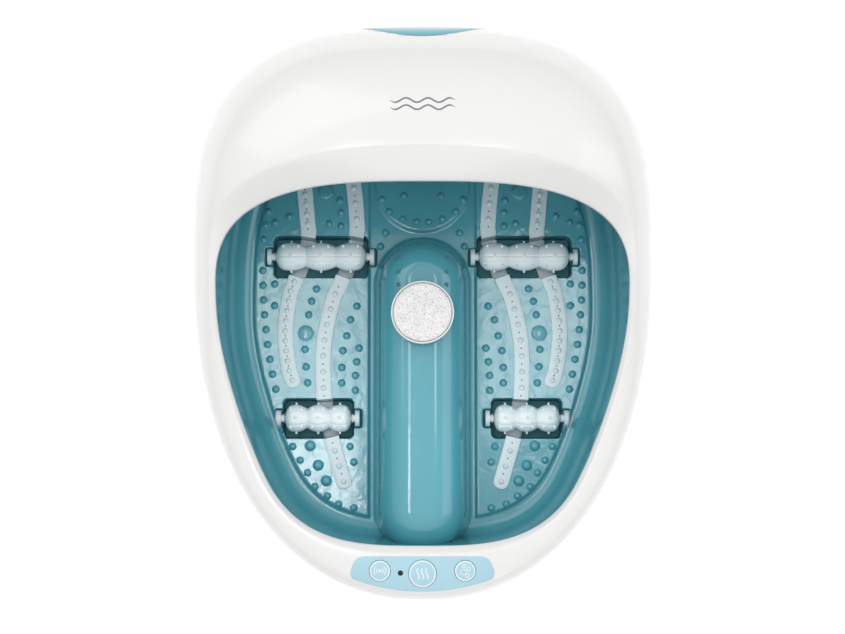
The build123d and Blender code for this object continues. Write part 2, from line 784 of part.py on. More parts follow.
# ---------------------------------------------------------------- heaters, blower, vibration motor, board
for side_name, side in (("left", -1), ("right", 1)):
    with BuildPart() as heater_plate:
        with Locations((side * 83, -12, floor_z - tub_wall)):
            Box(60, 56, 1.6, align=(Align.CENTER, Align.CENTER, Align.MAX))
    save(heater_plate.part, f"heater_plate_{side_name}")

with BuildPart() as thermostat:
    with Locations((-83, -12, floor_z - tub_wall - 1.6)):
        Cylinder(8, 5, align=(Align.CENTER, Align.CENTER, Align.MAX))
        Box(26, 6, 1.2, align=(Align.CENTER, Align.CENTER, Align.MAX))
save(thermostat.part, "thermostat")

inside_z = base_z + 2.5
with BuildPart() as blower_housing:
    with Locations((0, blower_y, inside_z)):
        Cylinder(27, 24, align=(Align.CENTER, Align.CENTER, Align.MIN))
    with Locations((0, blower_y + 32, inside_z + 12)):
        Box(14, 24, 12)
    with Locations((0, blower_y, inside_z + 3)):
        Cylinder(24.5, 19, align=(Align.CENTER, Align.CENTER, Align.MIN), mode=Mode.SUBTRACT)
    with Locations((0, blower_y, inside_z + 20)):
        Cylinder(9, 10, align=(Align.CENTER, Align.CENTER, Align.MIN), mode=Mode.SUBTRACT)
    with Locations((0, blower_y + 30, inside_z + 12)):
        Box(10, 22, 8, mode=Mode.SUBTRACT)
    with Locations((0, blower_y + 38, inside_z + 12)):
        Cylinder(3.5, 10, align=(Align.CENTER, Align.CENTER, Align.MIN), mode=Mode.SUBTRACT)
save(blower_housing.part, "blower_housing")

with BuildPart() as blower_impeller:
    with Locations((0, blower_y, inside_z + 5)):
        Cylinder(21, 1.6, align=(Align.CENTER, Align.CENTER, Align.MIN))
        Cylinder(5, 14, align=(Align.CENTER, Align.CENTER, Align.MIN))
    for k in range(10):
        with Locations(Location((0, blower_y, 0), (0, 0, 36 * k))):
            with Locations(Location((15, 0, inside_z + 5), (0, 0, 35))):
                Box(12, 1.2, 11, align=(Align.CENTER, Align.CENTER, Align.MIN))
    with Locations((0, blower_y, inside_z + 10)):
        Cylinder(1.56, 20, align=(Align.CENTER, Align.CENTER, Align.MIN), mode=Mode.SUBTRACT)
save(blower_impeller.part, "blower_impeller")

with BuildPart() as blower_motor:
    with Locations((0, blower_y, inside_z + 24)):
        Cylinder(14, 32, align=(Align.CENTER, Align.CENTER, Align.MIN))
    with Locations((0, blower_y, inside_z + 11)):
        Cylinder(1.5, 14, align=(Align.CENTER, Align.CENTER, Align.MIN))
save(blower_motor.part, "blower_motor")

with BuildPart() as air_hose:
    with Locations((0, blower_y + 38, inside_z + 18)):
        Cylinder(5, manifold_low_z - inside_z - 18, align=(Align.CENTER, Align.CENTER, Align.MIN))
        Cylinder(3.4, 60, mode=Mode.SUBTRACT)
save(air_hose.part, "air_hose")

with BuildPart() as air_manifold:
    with Locations((0, blower_y + 38, manifold_low_z)):
        Box(130, 12, floor_z - tub_wall - manifold_low_z, align=(Align.CENTER, Align.CENTER, Align.MIN))
    with Locations((0, blower_y + 38, manifold_low_z + 1.5)):
        Box(127, 9, 30, align=(Align.CENTER, Align.CENTER, Align.MIN), mode=Mode.SUBTRACT)
    with Locations((0, blower_y + 38, manifold_low_z)):
        Cylinder(3.4, 10, mode=Mode.SUBTRACT)
save(air_manifold.part, "air_manifold")

with BuildPart() as vibration_motor:
    with Locations(Location((-6, shaker_y, shaker_z), (0, 90, 0))):
        Cylinder(11, 34)
    with Locations(Location((18, shaker_y, shaker_z), (0, 90, 0))):
        Cylinder(1.5, 22)
save(vibration_motor.part, "vibration_motor")

with BuildPart() as motor_bracket:
    with Locations((-6, shaker_y, inside_z)):
        Box(30, 34, shaker_z - inside_z + 4, align=(Align.CENTER, Align.CENTER, Align.MIN))
    with Locations(Location((-6, shaker_y, shaker_z), (0, 90, 0))):
        Cylinder(11.05, 60, mode=Mode.SUBTRACT)
save(motor_bracket.part, "motor_bracket")

with BuildPart() as eccentric_weight:
    with Locations(Location((22, shaker_y, shaker_z), (0, 90, 0))):
        Cylinder(9.5, 8)
    with Locations((22, shaker_y, shaker_z + 3.5)):
        Box(10, 22, 20, align=(Align.CENTER, Align.CENTER, Align.MIN), mode=Mode.SUBTRACT)
    with Locations(Location((22, shaker_y, shaker_z), (0, 90, 0))):
        Cylinder(1.56, 20, mode=Mode.SUBTRACT)
save(eccentric_weight.part, "eccentric_weight")

with BuildPart() as power_board:
    with Locations((0, 45, inside_z + 8)):
        Box(60, 44, 1.6, align=(Align.CENTER, Align.CENTER, Align.MIN))
    for x, y in ((-26, 27), (26, 27), (-26, 63), (26, 63)):
        with Locations((x, y, inside_z)):
            Cylinder(2.5, 8, align=(Align.CENTER, Align.CENTER, Align.MIN))
    with Locations((-10, 48, inside_z + 9.6)):
        Box(22, 24, 18, align=(Align.CENTER, Align.CENTER, Align.MIN))
    with Locations((16, 40, inside_z + 9.6)):
        Cylinder(6, 16, align=(Align.CENTER, Align.CENTER, Align.MIN))
save(power_board.part, "power_board")
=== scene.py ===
import json
import random
from math import asin, atan2, cos, hypot, pi, radians, sin, sqrt, tan

import bmesh
import bpy
from mathutils import Matrix, Vector
from mathutils.geometry import delaunay_2d_cdt


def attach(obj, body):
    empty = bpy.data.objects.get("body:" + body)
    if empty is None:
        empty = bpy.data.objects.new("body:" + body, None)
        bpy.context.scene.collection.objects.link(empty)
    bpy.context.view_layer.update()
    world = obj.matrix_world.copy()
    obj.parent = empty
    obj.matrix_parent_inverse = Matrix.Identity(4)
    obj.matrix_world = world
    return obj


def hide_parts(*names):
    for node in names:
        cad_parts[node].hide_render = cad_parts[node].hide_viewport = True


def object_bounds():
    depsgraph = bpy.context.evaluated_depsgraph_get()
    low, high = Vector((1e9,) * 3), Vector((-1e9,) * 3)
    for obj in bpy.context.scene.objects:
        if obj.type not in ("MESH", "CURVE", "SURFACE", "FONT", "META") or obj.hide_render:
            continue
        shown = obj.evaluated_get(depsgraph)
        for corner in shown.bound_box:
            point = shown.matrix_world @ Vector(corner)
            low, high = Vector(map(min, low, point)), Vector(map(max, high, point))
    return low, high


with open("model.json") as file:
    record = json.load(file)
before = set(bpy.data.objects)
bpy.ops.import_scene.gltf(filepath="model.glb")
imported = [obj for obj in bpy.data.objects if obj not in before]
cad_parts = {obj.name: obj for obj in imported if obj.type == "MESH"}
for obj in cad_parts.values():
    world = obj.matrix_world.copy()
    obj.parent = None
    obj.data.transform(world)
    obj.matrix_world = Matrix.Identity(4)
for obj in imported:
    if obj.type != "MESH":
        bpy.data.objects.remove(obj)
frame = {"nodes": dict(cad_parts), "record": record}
cad_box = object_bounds()
MM = 0.001

# ------------------------------------------------------------------ shared shape of the spa (mm)
OPENING_Y = 10.0
RIM_Z = 135.0
LIP_DEPTH = 4.2
COVER_WALL = 2.6
FLOOR_Z = 44.0
BED_Z = 47.0
RIDGE_Z = 94.0
AXLE_Z = 48.0


def lerp(a, b, t):
    return a + (b - a) * t


def smooth(t):
    t = min(1.0, max(0.0, t))
    return t * t * (3 - 2 * t)


def egg(angle, half_width, front, back, centre_y, front_power, back_power, waist=0.0):
    c, s = cos(radians(angle)), sin(radians(angle))
    reach, power = (back, back_power) if s >= 0 else (front, front_power)
    r = (abs(c / half_width) ** power + abs(s / reach) ** power) ** (-1 / power)
    x, y = r * c, r * s
    t = min(1.0, abs(y) / reach / 0.75) if y < 0 else 0.0
    return x * (1 - waist * (3 * t**2 - 2 * t**3)), y + centre_y


def body_point(angle, inset=0.0):
    return egg(angle, 178 - inset, 260 - inset, 180 - inset, 40, 2.2, 3)


def opening_point(angle):
    return egg(angle, 157.5, 187.5, 81.5, OPENING_Y, 3.2, 3, 0.125)


def tub_reach(z, grow=0.0):
    """The tub wall's half width, front reach and back reach at a height."""
    up = (z - FLOOR_Z) / (RIM_Z - FLOOR_Z)
    return 147 + 14.2 * up + grow, 181 + 13.6 * up + grow, 160 + 2 * up + grow


def tub_point(angle, z, grow=0.0):
    return egg(angle, *tub_reach(z, grow), OPENING_Y, 3.2, 3, 0.125)


def housing_inset(z):
    return 36 * max(0.0, 1 - (z - 5) / 105) ** 2


def seam_z(y):
    return 102 + 0.082 * y


def hood_rise(y):
    return max(0.0, (y + 150) / 241.5)


def lip_z(y):
    return 112 + 78 * hood_rise(y) ** 3


# ------------------------------------------------------------------ mesh helpers
def new_object(name, verts, faces, material, smooth_angle=40.0):
    mesh = bpy.data.meshes.new(name)
    mesh.from_pydata([(x * MM, y * MM, z * MM) for x, y, z in verts], [], faces)
    mesh.validate()
    obj = bpy.data.objects.new(name, mesh)
    bpy.context.scene.collection.objects.link(obj)
    bm = bmesh.new()
    bm.from_mesh(mesh)
    bmesh.ops.remove_doubles(bm, verts=bm.verts, dist=1e-6)
    bmesh.ops.recalc_face_normals(bm, faces=bm.faces)
    limit = radians(smooth_angle)
    for face in bm.faces:
        face.smooth = True
    for edge in bm.edges:
        edge.smooth = len(edge.link_faces) != 2 or edge.calc_face_angle(0) < limit
    bm.to_mesh(mesh)
    bm.free()
    mesh.materials.append(material)
    return obj


def grid_faces(rows, columns, close_rows=False, close_columns=False, start=0):
    faces = []
    for i in range(rows if close_rows else rows - 1):
        for j in range(columns if close_columns else columns - 1):
            low, high = start + i * columns, start + (i + 1) % rows * columns
            c, d = j, (j + 1) % columns
            faces.append((low + c, low + d, high + d, high + c))
    return faces


def ring_object(name, sections, material, smooth_angle=40.0, closed_profile=True):
    """A closed ring through sections, each a list of 3-D points of equal length."""
    verts = [p for section in sections for p in section]
    faces = grid_faces(len(sections), len(sections[0]), True, closed_profile)
    return new_object(name, verts, faces, material, smooth_angle)


class Bunch:
    """Many small shells gathered into one mesh."""

    def __init__(self):
        self.verts, self.faces = [], []

    def grid(self, rows, close_columns=True, cap=False):
        start = len(self.verts)
        for row in rows:
            self.verts += row
        self.faces += grid_faces(len(rows), len(rows[0]), False, close_columns, start)
        if cap:
            self.faces.append(tuple(start + k for k in range(len(rows[0])))[::-1])
            last = start + (len(rows) - 1) * len(rows[0])
            self.faces.append(tuple(last + k for k in range(len(rows[0]))))

    def lathe(self, centre, profile, steps=24, matrix=None):
        """A turned shape about +Z (or matrix's Z) from (radius, height) pairs; the last ring is capped."""
        rows = []
        for r, h in profile:
            ring = []
            for k in range(steps):
                a = 2 * pi * k / steps
                p = Vector((r * cos(a), r * sin(a), h))
                if matrix:
                    p = matrix @ p
                ring.append((p.x + centre[0], p.y + centre[1], p.z + centre[2]))
            rows.append(ring)
        start = len(self.verts)
        self.grid(rows)
        last = start + (len(rows) - 1) * steps
        self.faces.append(tuple(last + k for k in range(steps)))

    def box(self, centre, size, bevel=0.3, matrix=None):
        """A box with chamfered edges."""
        hx, hy, hz = size[0] / 2, size[1] / 2, size[2] / 2
        rows = []
        for z, inset in ((-hz, bevel), (-hz + bevel, 0), (hz - bevel, 0), (hz, bevel)):
            x, y = hx - inset, hy - inset
            b = bevel * 0.8
            ring = []
            corner = ((x, y - b), (x - b, y), (-x + b, y), (-x, y - b))
            for px, py in corner + tuple((-u, -v) for u, v in corner):
                p = Vector((px, py, z))
                if matrix:
                    p = matrix @ p
                ring.append((p.x + centre[0], p.y + centre[1], p.z + centre[2]))
            rows.append(ring)
        self.grid(rows, cap=True)

    def build(self, name, material, smooth_angle=40.0):
        return new_object(name, self.verts, self.faces, material, smooth_angle)


def wheel(r, steps, x=0.0, y=0.0, z=0.0, axis="Z"):
    """A ring of points about the Z or X axis."""
    turns = [(r * cos(2 * pi * k / steps), r * sin(2 * pi * k / steps)) for k in range(steps)]
    if axis == "X":
        return [(x, u + y, v + z) for u, v in turns]
    return [(u + x, v + y, z) for u, v in turns]


def cut(obj, cutter):
    """Subtracts cutter from obj for good."""
    mod = obj.modifiers.new("cut", "BOOLEAN")
    mod.operation = "DIFFERENCE"
    mod.solver = "EXACT"
    mod.object = cutter
    graph = bpy.context.evaluated_depsgraph_get()
    mesh = bpy.data.meshes.new_from_object(obj.evaluated_get(graph))
    obj.modifiers.clear()
    old = obj.data
    obj.data = mesh
    mesh.name = old.name
    bpy.data.objects.remove(cutter)


# ------------------------------------------------------------------ materials
def material(name, colour, roughness, tint=0.03, scale=60.0, bump=0.02, bump_scale=400.0, coat=0.0, sss=0.0,
             specular=0.5, metallic=0.0, wave=0.0):
    """Plastic or metal: slow colour drift, fine roughness variation, a fine surface and a slow ripple."""
    spread = 0.04
    mat = bpy.data.materials.new(name)
    mat.use_nodes = True
    nodes, links = mat.node_tree.nodes, mat.node_tree.links
    shader = nodes["Principled BSDF"]
    coords = nodes.new("ShaderNodeTexCoord")
    slow = nodes.new("ShaderNodeTexNoise")
    slow.inputs["Scale"].default_value = scale * 0.3
    slow.inputs["Detail"].default_value = 3
    links.new(coords.outputs["Object"], slow.inputs["Vector"])
    ramp = nodes.new("ShaderNodeValToRGB")
    low = [max(0, c * (1 - tint)) for c in colour]
    high = [min(1, c * (1 + tint)) for c in colour]
    ramp.color_ramp.elements[0].position = 0.3
    ramp.color_ramp.elements[1].position = 0.7
    ramp.color_ramp.elements[0].color = (*low, 1)
    ramp.color_ramp.elements[1].color = (*high, 1)
    links.new(slow.outputs["Fac"], ramp.inputs["Fac"])
    links.new(ramp.outputs["Color"], shader.inputs["Base Color"])
    fine = nodes.new("ShaderNodeTexNoise")
    fine.inputs["Scale"].default_value = bump_scale
    fine.inputs["Detail"].default_value = 4
    links.new(coords.outputs["Object"], fine.inputs["Vector"])
    rough = nodes.new("ShaderNodeMapRange")
    rough.inputs["To Min"].default_value = max(0.02, roughness - spread)
    rough.inputs["To Max"].default_value = roughness + spread
    links.new(fine.outputs["Fac"], rough.inputs["Value"])
    links.new(rough.outputs["Result"], shader.inputs["Roughness"])
    relief = nodes.new("ShaderNodeBump")
    relief.inputs["Strength"].default_value = bump
    relief.inputs["Distance"].default_value = 0.0003
    links.new(fine.outputs["Fac"], relief.inputs["Height"])
    if wave:
        slow_relief = nodes.new("ShaderNodeTexNoise")
        slow_relief.inputs["Scale"].default_value = 75
        slow_relief.inputs["Detail"].default_value = 2
        slow_relief.inputs["Distortion"].default_value = 0.6
        links.new(coords.outputs["Object"], slow_relief.inputs["Vector"])
        ripple = nodes.new("ShaderNodeBump")
        ripple.inputs["Strength"].default_value = wave
        ripple.inputs["Distance"].default_value = 0.0008
        links.new(slow_relief.outputs["Fac"], ripple.inputs["Height"])
        links.new(ripple.outputs["Normal"], relief.inputs["Normal"])
    links.new(relief.outputs["Normal"], shader.inputs["Normal"])
    shader.inputs["Coat Weight"].default_value = coat
    shader.inputs["Coat Roughness"].default_value = 0.05
    shader.inputs["Subsurface Weight"].default_value = sss
    shader.inputs["Subsurface Radius"].default_value = (0.004, 0.004, 0.004)
    shader.inputs["Specular IOR Level"].default_value = specular
    shader.inputs["Metallic"].default_value = metallic
    return mat


# roughly the colours of the mouldings, the print, the stone and the hidden metal parts; the bed, pocket and
# air-hole colours also carry painted light, as marked below
white = material("white_gloss", (0.765, 0.76, 0.753), 0.20, tint=0.008, bump=0.015, coat=0.25)
teal = material("teal_gloss", (0.085, 0.345, 0.415), 0.13, tint=0.05, bump=0.02, coat=0.4, wave=0.12)
# the beds' teal is a little lighter than the tub's: painted sheen for the glare on the beds; its ripple bump
# is relief
teal_bed_painted_sheen = material("teal_bed_painted_sheen_gloss", (0.10, 0.36, 0.425), 0.13, tint=0.06, bump=0.02, coat=0.6, wave=0.65)
# darker teal for the roller pockets and the ridge slots: painted shade where those hollows lie in shade
teal_recess_painted_shade = material("teal_recess_painted_shade_satin", (0.045, 0.20, 0.245), 0.5, tint=0.05, bump=0.05, specular=0.3)
pale = material("pale_strip", (0.66, 0.77, 0.80), 0.30, tint=0.02, bump=0.04, sss=0.15)
roller_blue = material("roller_gloss", (0.82, 0.90, 0.92), 0.28, tint=0.02, bump=0.04, coat=0.2)
blue_panel = material("panel_print", (0.375, 0.60, 0.69), 0.32, tint=0.015, bump=0.03)
ink_white = material("white_print", (0.80, 0.82, 0.82), 0.4, tint=0.01, bump=0.02)
ink_grey = material("grey_print", (0.22, 0.23, 0.24), 0.4, tint=0.02, bump=0.02)
pumice_mat = material("pumice_rough", (0.80, 0.79, 0.79), 0.92, 0.05, 500, bump=0.7, bump_scale=900)
grains = pumice_mat.node_tree.nodes.new("ShaderNodeTexVoronoi")
grains.inputs["Scale"].default_value = 620
speck = pumice_mat.node_tree.nodes.new("ShaderNodeValToRGB")
speck.color_ramp.elements[0].position = 0.12
speck.color_ramp.elements[1].position = 0.26
speck.color_ramp.elements[0].color = (0.10, 0.10, 0.11, 1)
speck.color_ramp.elements[1].color = (1, 1, 1, 1)
blend = pumice_mat.node_tree.nodes.new("ShaderNodeMix")
blend.data_type = "RGBA"
blend.blend_type = "MULTIPLY"
blend.inputs["Factor"].default_value = 1.0
stone_links = pumice_mat.node_tree.links
shader_in = pumice_mat.node_tree.nodes["Principled BSDF"].inputs["Base Color"]
stone_links.new(pumice_mat.node_tree.nodes["Texture Coordinate"].outputs["Object"], grains.inputs["Vector"])
stone_links.new(grains.outputs["Distance"], speck.inputs["Fac"])
stone_links.new(shader_in.links[0].from_socket, blend.inputs["A"])
stone_links.new(speck.outputs["Color"], blend.inputs["B"])
stone_links.new(blend.outputs["Result"], shader_in)
trim_white = material("white_trim_gloss", (0.78, 0.79, 0.79), 0.22, tint=0.01, bump=0.02)
# near-black for the dark parts; also used for the strips' air-hole dots, which are painted shade
dark = material("dark_moulding_and_hole_shade", (0.02, 0.025, 0.03), 0.35, tint=0.1, bump=0.05)
lens_mat = material("smoked_lens", (0.004, 0.005, 0.006), 0.25, tint=0.1, bump=0.0, specular=0.3)
rubber = material("foot_rubber", (0.025, 0.025, 0.025), 0.75, tint=0.1, bump=0.25, bump_scale=1500)
base_grey = material("base_matte", (0.62, 0.62, 0.61), 0.55, tint=0.03, bump=0.2, bump_scale=1200)
steel = material("screw_steel", (0.55, 0.55, 0.56), 0.32, tint=0.05, bump=0.1, bump_scale=1500, metallic=1.0)
alu = material("heater_aluminium", (0.70, 0.70, 0.71), 0.4, tint=0.05, bump=0.1, metallic=1.0)
board = material("board_green", (0.02, 0.14, 0.06), 0.45, tint=0.2, bump=0.1)
hose_mat = material("hose_grey", (0.55, 0.57, 0.57), 0.5, tint=0.05, bump=0.1)

slot_look = {
    "white_shell": white, "teal_tub": teal, "pale_blue": pale, "panel_blue": blue_panel,
    "pumice": pumice_mat, "white_trim": trim_white, "lens": lens_mat, "grey_base": base_grey,
    "black_rubber": rubber, "dark_plastic": dark, "steel": steel, "alu": alu,
    "board_green": board, "motor_can": steel, "hose": hose_mat,
}
for part in frame["record"]["subparts"]:
    node = frame["nodes"][part["node"]]
    node.data.materials.clear()
    node.data.materials.append(slot_look[part["material_slot"]])


def finish_piece(obj, body, slot_name, *replaced):
    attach(obj, body)
    if replaced:
        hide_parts(*replaced)


# ------------------------------------------------------------------ top cover
def rim_profile(angle, steps=26):
    """Points (across, z) of the cover's outer curve, then the width, fascia, lip height and crest height."""
    ox, oy = body_point(angle)
    ix, iy = opening_point(angle)
    width = hypot(ix - ox, iy - oy)
    rise = hood_rise(iy)
    fascia = 6.0 + 17.5 * rise**6
    crest = lip_z(iy) + 3.0 + 15.0 * rise**6
    low = seam_z(oy)
    power = 2.3 + 1.7 * max(0.0, -sin(radians(angle))) ** 4
    curve = []
    for k in range(steps + 1):
        a = radians(90 * k / steps)
        across = (width - fascia) * (1 - max(0.0, cos(a)) ** (2 / power))
        z = low + (crest - low) * sin(a) ** (2 / power)
        curve.append(Vector((across + housing_inset(z), z)))
    return curve, width, fascia, lip_z(iy), crest


def rim_section(angle):
    curve, width, fascia, lip, crest = rim_profile(angle)
    n = len(curve) - 1
    inner = [Vector((curve[0].x + COVER_WALL, curve[0].y))]
    for k in range(1, n):
        way = (curve[k + 1] - curve[k - 1]).normalized()
        inner.append(Vector((curve[k].x + way.y * COVER_WALL, curve[k].y - way.x * COVER_WALL)))
    inner.append(Vector((curve[n].x, curve[n].y - COVER_WALL)))
    outer = curve[:-1]
    corner, edge = curve[n], Vector((width, lip))
    before = (curve[n - 1] - corner).normalized()
    after = (edge - corner).normalized()
    soft = min(1.6, fascia * 0.25)
    bend = [corner + before * soft, None, None, corner + after * soft]
    for k, t in ((1, 1 / 3), (2, 2 / 3)):
        bend[k] = (1 - t) ** 2 * bend[0] + 2 * t * (1 - t) * corner + t**2 * bend[3]
    outer = [p for p in outer if (p - corner).length > soft * 1.2] + bend
    while len(outer) < n + 4:
        outer.insert(-4, (outer[-5] + outer[-4]) / 2)
    lip_r = 1.1
    down = Vector((0, -1))
    start = edge - after * lip_r
    end = edge + down * lip_r
    rounded = [(1 - t) ** 2 * start + 2 * t * (1 - t) * edge + t**2 * end for t in (0, 0.25, 0.5, 0.75, 1)]
    third = [lerp(bend[3], start, t) for t in (0.33, 0.66)]
    profile = outer + third + rounded
    profile += [Vector((width, lip - LIP_DEPTH)), Vector((width - COVER_WALL, lip - LIP_DEPTH))]
    profile += inner[::-1]
    low = curve[0]
    profile[:1] = [low + Vector(step) for step in ((0.5, 0.0), (0.12, 0.15), (0, 0.5))]
    ox, oy = body_point(angle)
    ix, iy = opening_point(angle)
    d = Vector((ix - ox, iy - oy)).normalized()
    return [(ox + d.x * p.x, oy + d.y * p.x, p.y) for p in profile]


STEPS = 480
ANGLES = [-90 + 360 * k / STEPS for k in range(STEPS)]
sections = [rim_section(a) for a in ANGLES]
cover = ring_object("cover_shell", sections, white, 32)


def arch_prism(grow, low_y, high_y, rise=0.0, steps=32):
    """A prism through the hand recess: an arch above, rounded corners below."""
    half, shoulder, top, bottom = 52 + grow, 126.0, 158 + grow + rise, 86 - grow
    r = (half**2 + (top - shoulder) ** 2) / (2 * (top - shoulder))
    spread = asin(half / r)
    turns = [lerp(-spread, spread, k / steps) for k in range(steps + 1)]
    outline = [(r * sin(turn), top - r + r * cos(turn)) for turn in turns]
    c = 8.0 + grow
    quarter = [pi / 2 * k / 6 for k in range(7)]
    outline += [(half - c + c * cos(-turn), bottom + c + c * sin(-turn)) for turn in quarter]
    outline += [(-half + c - c * sin(turn), bottom + c - c * cos(turn)) for turn in quarter]
    bunch = Bunch()
    bunch.grid([[(x, y, z) for x, z in outline] for y in (low_y, high_y)], cap=True)
    return bunch


ARCH_RISE = 13.0
cut(cover, arch_prism(2.2, 181.8, 260, ARCH_RISE).build("tmp_cut", white))

# ------------------------------------------------------------------ lower housing
def housing_profile(angle):
    ox, oy = body_point(angle)
    ix, iy = opening_point(angle)
    d = Vector((ix - ox, iy - oy)).normalized()
    top = seam_z(oy) - 0.6
    points = [(housing_inset(5) + 2.8, 5), (housing_inset(5) + 0.6, 5), (housing_inset(5) + 0.15, 5.3)]
    points += [(housing_inset(z), z) for z in [5.9 + (top - 6.4) * k / 30 for k in range(31)]]
    rim = housing_inset(top)
    points += [(rim + 0.12, top - 0.12), (rim + 0.5, top), (rim + 2.8, top)]
    points += [(housing_inset(z) + 2.8, z) for z in [10 + (top - 10) * k / 12 for k in range(11, -1, -1)]]
    shelf = housing_inset(10) + 14.8
    points += [(shelf, 10), (shelf, 7.5), (housing_inset(5) + 2.8, 7.5)]
    return [(ox + d.x * a, oy + d.y * a, z) for a, z in points]


housing = ring_object("housing_shell", [housing_profile(a) for a in ANGLES], white, 32)
cut(housing, arch_prism(2.2, 181.8, 260).build("tmp_cut", white))


# ------------------------------------------------------------------ tub walls
def tub_rim_z(y):
    return min(lip_z(y) - LIP_DEPTH - 1.2, 132.0)


def tub_section(angle):
    r = 10.0
    top = tub_rim_z(tub_point(angle, 110)[1])
    profile = []
    for k in range(9):
        a = radians(90 * k / 8)
        x, y = tub_point(angle, FLOOR_Z + r - r * cos(a))
        profile.append((x, y, -(r - r * sin(a)), FLOOR_Z + r - r * cos(a)))
    for k in range(1, 13):
        z = lerp(FLOOR_Z + r, top - 0.8, k / 12)
        x, y = tub_point(angle, z)
        profile.append((x, y, 0, z))
    x, y = tub_point(angle, top)
    rim = ((0.25, -0.25), (0.8, 0), (5.0, 0), (5.5, -0.5), (5.5, -2.2), (2.5, -2.2))
    profile += [(x, y, grow, top + rise) for grow, rise in rim]
    for k in range(5):
        z = lerp(top - 4, FLOOR_Z + 4, k / 4)
        x, y = tub_point(angle, z)
        profile.append((x, y, 2.5, z))
    x, y = tub_point(angle, FLOOR_Z)
    profile += [(x, y, -8, FLOOR_Z - 2.5), (x, y, -14, FLOOR_Z - 2.5), (x, y, -14, FLOOR_Z - 0.1)]
    ring = []
    for x, y, grow, z in profile:
        d = Vector((x, y - OPENING_Y)).normalized()
        ring.append((x + d.x * grow, y + d.y * grow, z))
    return ring


tub_wall = ring_object("tub_wall", [tub_section(a) for a in ANGLES], teal, 50)


def splash_section(angle):
    """The tub's upper wall, from its rim up to the inner face of the cover."""
    curve, width, fascia, lip, crest = rim_profile(angle)
    ox, oy = body_point(angle)
    ix, iy = opening_point(angle)
    d = Vector((ix - ox, iy - oy)).normalized()
    tx, ty = tub_point(angle, 132, 1.4)
    across = (tx - ox) * d.x + (ty - oy) * d.y
    inner = [(p.x + 1.0, p.y - COVER_WALL) for p in curve] + [(width - COVER_WALL, lip - LIP_DEPTH)]
    top = lip - LIP_DEPTH
    for (x0, z0), (x1, z1) in zip(inner, inner[1:]):
        if x0 <= across <= x1:
            top = lerp(z0, z1, (across - x0) / max(x1 - x0, 1e-6))
    low = tub_rim_z(tub_point(angle, 110)[1]) - 0.5
    top = max(low + 0.3, top - 0.2)
    points = [(across, low), (across, top), (across - 1.6, top), (across - 1.6, low)]
    return [(ox + d.x * a, oy + d.y * a, z) for a, z in points]


splash_wall = ring_object("tub_upper_wall", [splash_section(a) for a in ANGLES], teal, 50)

# ------------------------------------------------------------------ tub floor, beds, ridge and recesses
# each roller recess: centre x and y, length, width
REAR = (82.0, 53.0, 76.0, 33.0)
FRONT = (83.6, -77.5, 56.0, 31.0)
RECESS_Z = 32.0
NOTCH_Z = 41.2


def egg_inside(x, y, half_width, front, back):
    """Roughly how far (mm) a point lies inside an egg outline."""
    dy = y - OPENING_Y
    reach, power = (back, 3.0) if dy >= 0 else (front, 3.2)
    t = min(1.0, abs(dy) / reach / 0.75) if dy < 0 else 0.0
    w = half_width * (1 - 0.125 * (3 * t**2 - 2 * t**3))
    f = (abs(x / w) ** power + abs(dy / reach) ** power) ** (1 / power)
    return (1 - f) * hypot(x, dy) / max(f, 0.05) if f > 0.3 else 50.0


def box_inside(x, y, cx, cy, length, width, corner):
    """Distance inside a rounded rectangle."""
    qx = abs(x - cx) - length / 2 + corner
    qy = abs(y - cy) - width / 2 + corner
    return corner - (hypot(max(qx, 0), max(qy, 0)) + min(max(qx, qy), 0))


def step_up(d, width):
    return smooth(d / width + 0.5)


def blend_max(a, b, k):
    h = max(k - abs(a - b), 0.0) / k
    return max(a, b) + h * h * k * 0.25


def ridge_height(x, y):
    nearest = min(30.0, max(-151.0, y))
    d = hypot(x, y - nearest)
    top_r, fillet, flank = 9.0, 24.0, radians(11)
    if d < top_r:
        return RIDGE_Z
    end = top_r + fillet * cos(flank)
    if d < end:
        return RIDGE_Z - fillet + sqrt(fillet**2 - (d - top_r) ** 2)
    return RIDGE_Z - fillet + fillet * sin(flank) - (d - end) / tan(flank)


def floor_height(x, y):
    ax = abs(x)
    z = FLOOR_Z
    bed = min(egg_inside(ax, y, 136, 168, 150), ax - 43.0)
    z += 3.0 * step_up(bed, 2.4)
    disc = 38.0 - hypot(x, y - 112)
    z = max(z, FLOOR_Z + 2.0 * step_up(disc, 2.0))
    z = blend_max(z, ridge_height(x, y), 5.0)
    for cx, cy, length, width in (REAR, FRONT):
        pocket = box_inside(ax, y, cx, cy, length, width, 4.0)
        if pocket > -1.2:
            z = lerp(z, RECESS_Z, step_up(pocket, 1.6))
        notch = box_inside(ax, y, cx, cy, length + 13.6, 14.5, 1.2)
        if notch > -1.0 and pocket < 1:
            z = min(z, lerp(z, NOTCH_Z, step_up(notch, 1.2)))
    return z


def spaced(low, high, step, marks):
    """Grid lines from low to high, closer together at the marks."""
    count = round((high - low) / step)
    lines = [low + (high - low) * k / count for k in range(count + 1)]
    for mark in marks:
        for offset in (-0.9, -0.45, 0.0, 0.45, 0.9):
            lines.append(mark + offset)
    lines.sort()
    kept = [lines[0]]
    for v in lines[1:]:
        if v - kept[-1] > 0.28:
            kept.append(v)
    return kept


